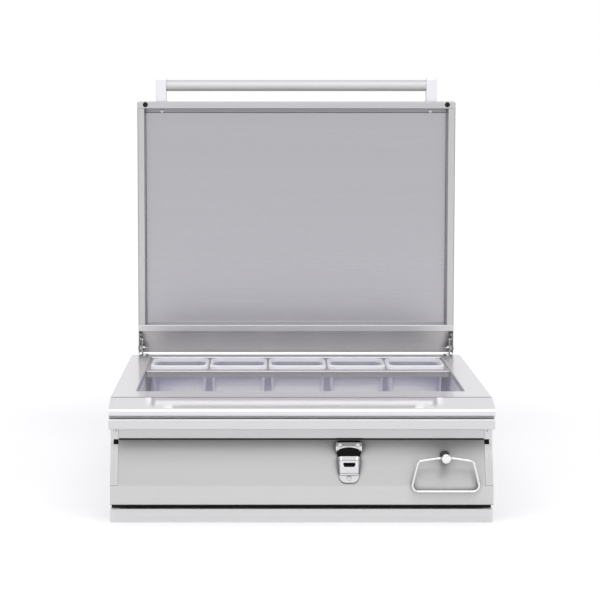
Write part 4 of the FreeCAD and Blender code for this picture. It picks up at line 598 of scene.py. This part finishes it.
# A narrow strip with a turned lower edge holds the inner panel under the front
# channel, with one screw near each end.  Its dark colour, with ambient occlusion in its
# hollows, is painted shade under the channel, and a black bead at both sides of the
# panel is painted shade in the gaps there.
shaded_strip_steel = satin_steel("shaded strip steel", (0.32, 0.315, 0.33), 0.34, ACROSS, 0.03, painted_shade_reach=0.003)
panel_strip = bmesh.new()
drawn_strip(panel_strip, [(0.0, 0.0098), (-0.0008, 0.0098), (-0.0009, 0.0012), (-0.0016, 0.0006),
                          (-0.002, 0.0), (-0.001, -0.0005), (0.0, -0.0003)],
            (-0.3475, 0.329, 0.8078), (0.3475, 0.329, 0.8078))
placed("panel_strip", panel_strip, shaded_strip_steel, "lid")
bead_height = 0.0011
panel_shade_beads = bmesh.new()
for inner, outer in ((-0.3434, -0.3483), (0.3452, 0.3483)):
    middle, half = (inner + outer) / 2, abs(outer - inner) / 2
    drawn_strip(panel_shade_beads, [(half * math.cos(math.radians(turn)),
                               -bead_height * math.sin(math.radians(turn)))
                              for turn in range(0, 181, 20)],
                (middle, 0.329, 0.3188), (middle, 0.329, 0.8178))
placed("panel_shade_beads", panel_shade_beads, black_rubber, "lid")
cross_screws("liner_cross_screws", [(side * 0.3094, 0.3282, 0.8117) for side in (-1, 1)],
             (0, -1, 0), 0.0019, "liner_screws", "lid")

# A moulded rubber bumper with a hollow middle is pressed into each front corner.
bumper_profile = [(0.0, 0.0), (0.0056, 0.0), (0.0058, 0.0012), (0.0056, 0.0028), (0.0048, 0.004),
                  (0.0036, 0.0046), (0.0026, 0.0045), (0.0021, 0.0036), (0.0012, 0.0031),
                  (0.0, 0.003)]
for side, side_name in ((-1, "left"), (1, "right")):
    bumper = bmesh.new()
    turned(bumper, (side * 0.3454, 0.296, 0.8264), (0, -1, 0), bumper_profile, spokes=48)
    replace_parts(placed("moulded_bumper_" + side_name, bumper, black_rubber, "lid"),
                "lid_bumper_" + side_name)

# The handle is a round steel tube with a soft satin face, held between two brighter
# square posts that are screwed to the lid.
handle_chrome = satin_steel("handle chrome", (0.6, 0.595, 0.603), 0.7, ACROSS, 0.01, 0.01,
                            relief=0.000001)
post_chrome = satin_steel("post chrome", (0.735, 0.73, 0.765), 0.45, UPRIGHT, 0.01, 0.03)
dress(handle_chrome, "handle_tube")
dress(post_chrome, "handle_post_left", "handle_post_right")
dress(fastener_steel, "handle_screws")

# ============================================================ opener and towel ring
# The bottle opener is a steel casting with a bevelled head, an arched mouth and a boxy
# hood.  It is buffed bright and screwed to the sloped panel.
# Ambient occlusion paints shade into the opener's hollows.
opener_steel = satin_steel("opener steel", (0.72, 0.71, 0.73), 0.12, ALL_WAYS, 0.03, 0.03,
                           0.00004, painted_shade_reach=0.012)

# Painted shade: the colour is painted near black where the casting lies in shade, on
# the plate's floor behind the hood, inside the hood, in the mouth, on the head's bevel,
# in part on the brow under it, and along two thin lines across the hood.  Distances
# are from the opener's middle, up along the panel and out from it.
opener_nodes, opener_links = opener_steel.node_tree.nodes, opener_steel.node_tree.links
opener_place = opener_nodes.new("ShaderNodeTexCoord")
opener_middle = (0.0941, -0.30524, 0.12400)
opener_lean = math.atan2(30.0, 86.4)   # the panel's setback over its height
far_off = 1.0                          # past the casting on every side
opener_frame = opener_nodes.new("ShaderNodeMapping")
opener_frame.vector_type = "TEXTURE"
opener_frame.inputs["Location"].default_value = opener_middle
opener_frame.inputs["Rotation"].default_value = (-opener_lean, 0.0, 0.0)
opener_links.new(opener_place.outputs["Object"], opener_frame.inputs["Vector"])
opener_axes = opener_nodes.new("ShaderNodeSeparateXYZ")
opener_links.new(opener_frame.outputs[0], opener_axes.inputs[0])
opener_sum = sums_on(opener_nodes, opener_links)


def opener_between(value, low, high, soft):
    """1 where a distance lies between two values, with soft ends."""
    rises = graded(opener_nodes, opener_links, value, low - soft, low + soft)
    falls = graded(opener_nodes, opener_links, value, high + soft, high - soft)
    return opener_sum("MULTIPLY", rises, falls)


opener_across = opener_sum("ABSOLUTE", opener_axes.outputs["X"], 0.0)
opener_up = opener_axes.outputs["Z"]
opener_out = opener_sum("MULTIPLY", opener_axes.outputs["Y"], -1.0)
opener_shell = opener_sum("ADD", opener_sum("MULTIPLY", opener_up, 0.37), 0.0158)
opener_floor = opener_sum(
    "MULTIPLY", opener_between(opener_up, -0.0262, 0.027, 0.0003),
    opener_sum("MULTIPLY", opener_between(opener_across, -far_off, 0.0205, 0.0004),
               opener_between(opener_out, -far_off, 0.0042, 0.0004)))
opener_inside = opener_sum(
    "MULTIPLY", opener_between(opener_across, -far_off, 0.0105, 0.0004),
    opener_sum("MULTIPLY", opener_between(opener_up, -0.024, 0.0075, 0.0003),
               opener_sum("LESS_THAN", opener_out, opener_shell)))
opener_sides = opener_sum(
    "MULTIPLY", opener_between(opener_up, 0.0075, 0.0202, 0.0003),
    opener_sum("MULTIPLY", opener_between(opener_across, -far_off, 0.0246, 0.0004),
               opener_between(opener_out, -far_off, 0.0092, 0.0004)))
opener_bevel = opener_between(opener_up, 0.0365, far_off, 0.0004)
opener_brow = opener_sum("MULTIPLY", opener_between(opener_up, 0.0285, 0.0365, 0.0004), 0.62)
opener_lines = opener_sum("MAXIMUM", opener_between(opener_up, -0.0012, -0.0002, 0.0004),
                          opener_between(opener_up, -0.0258, -0.0246, 0.0004))
opener_lines = opener_sum("MULTIPLY", opener_lines, 0.6)
opener_shade_mask = opener_floor
for part in (opener_inside, opener_sides, opener_bevel, opener_brow, opener_lines):
    opener_shade_mask = opener_sum("MAXIMUM", opener_shade_mask, part)
opener_painted_shade = opener_nodes.new("ShaderNodeMix")
opener_painted_shade.data_type = "RGBA"
opener_painted_shade.inputs["B"].default_value = (0.012, 0.012, 0.012, 1.0)
opener_links.new(opener_shade_mask, opener_painted_shade.inputs["Factor"])
opener_surface = opener_nodes["Principled BSDF"].inputs["Base Color"]
opener_links.new(opener_surface.links[0].from_socket, opener_painted_shade.inputs["A"])
opener_links.new(opener_painted_shade.outputs["Result"], opener_surface)
dress(opener_steel, "bottle_opener")
dress(fastener_steel, "opener_screws")

# The towel ring is bent from round steel bar, buffed bright, and swings in a post with
# a domed cap; ambient occlusion paints shade into their hollows.  A round rosette seats
# the post on the panel, coloured near black as painted shade behind the cap.
ring_chrome = satin_steel("ring chrome", (0.78, 0.775, 0.785), 0.08, ALL_WAYS, 0.01, 0.02,
                          painted_shade_reach=0.006, shut=0.4, open_air=0.9)
rosette_shade_paint = satin_steel("rosette shade paint", (0.05, 0.05, 0.052), 0.3, ALL_WAYS, 0.05)
dress(ring_chrome, "towel_ring", "towel_ring_post")
dress(rosette_shade_paint, "towel_ring_rosette")
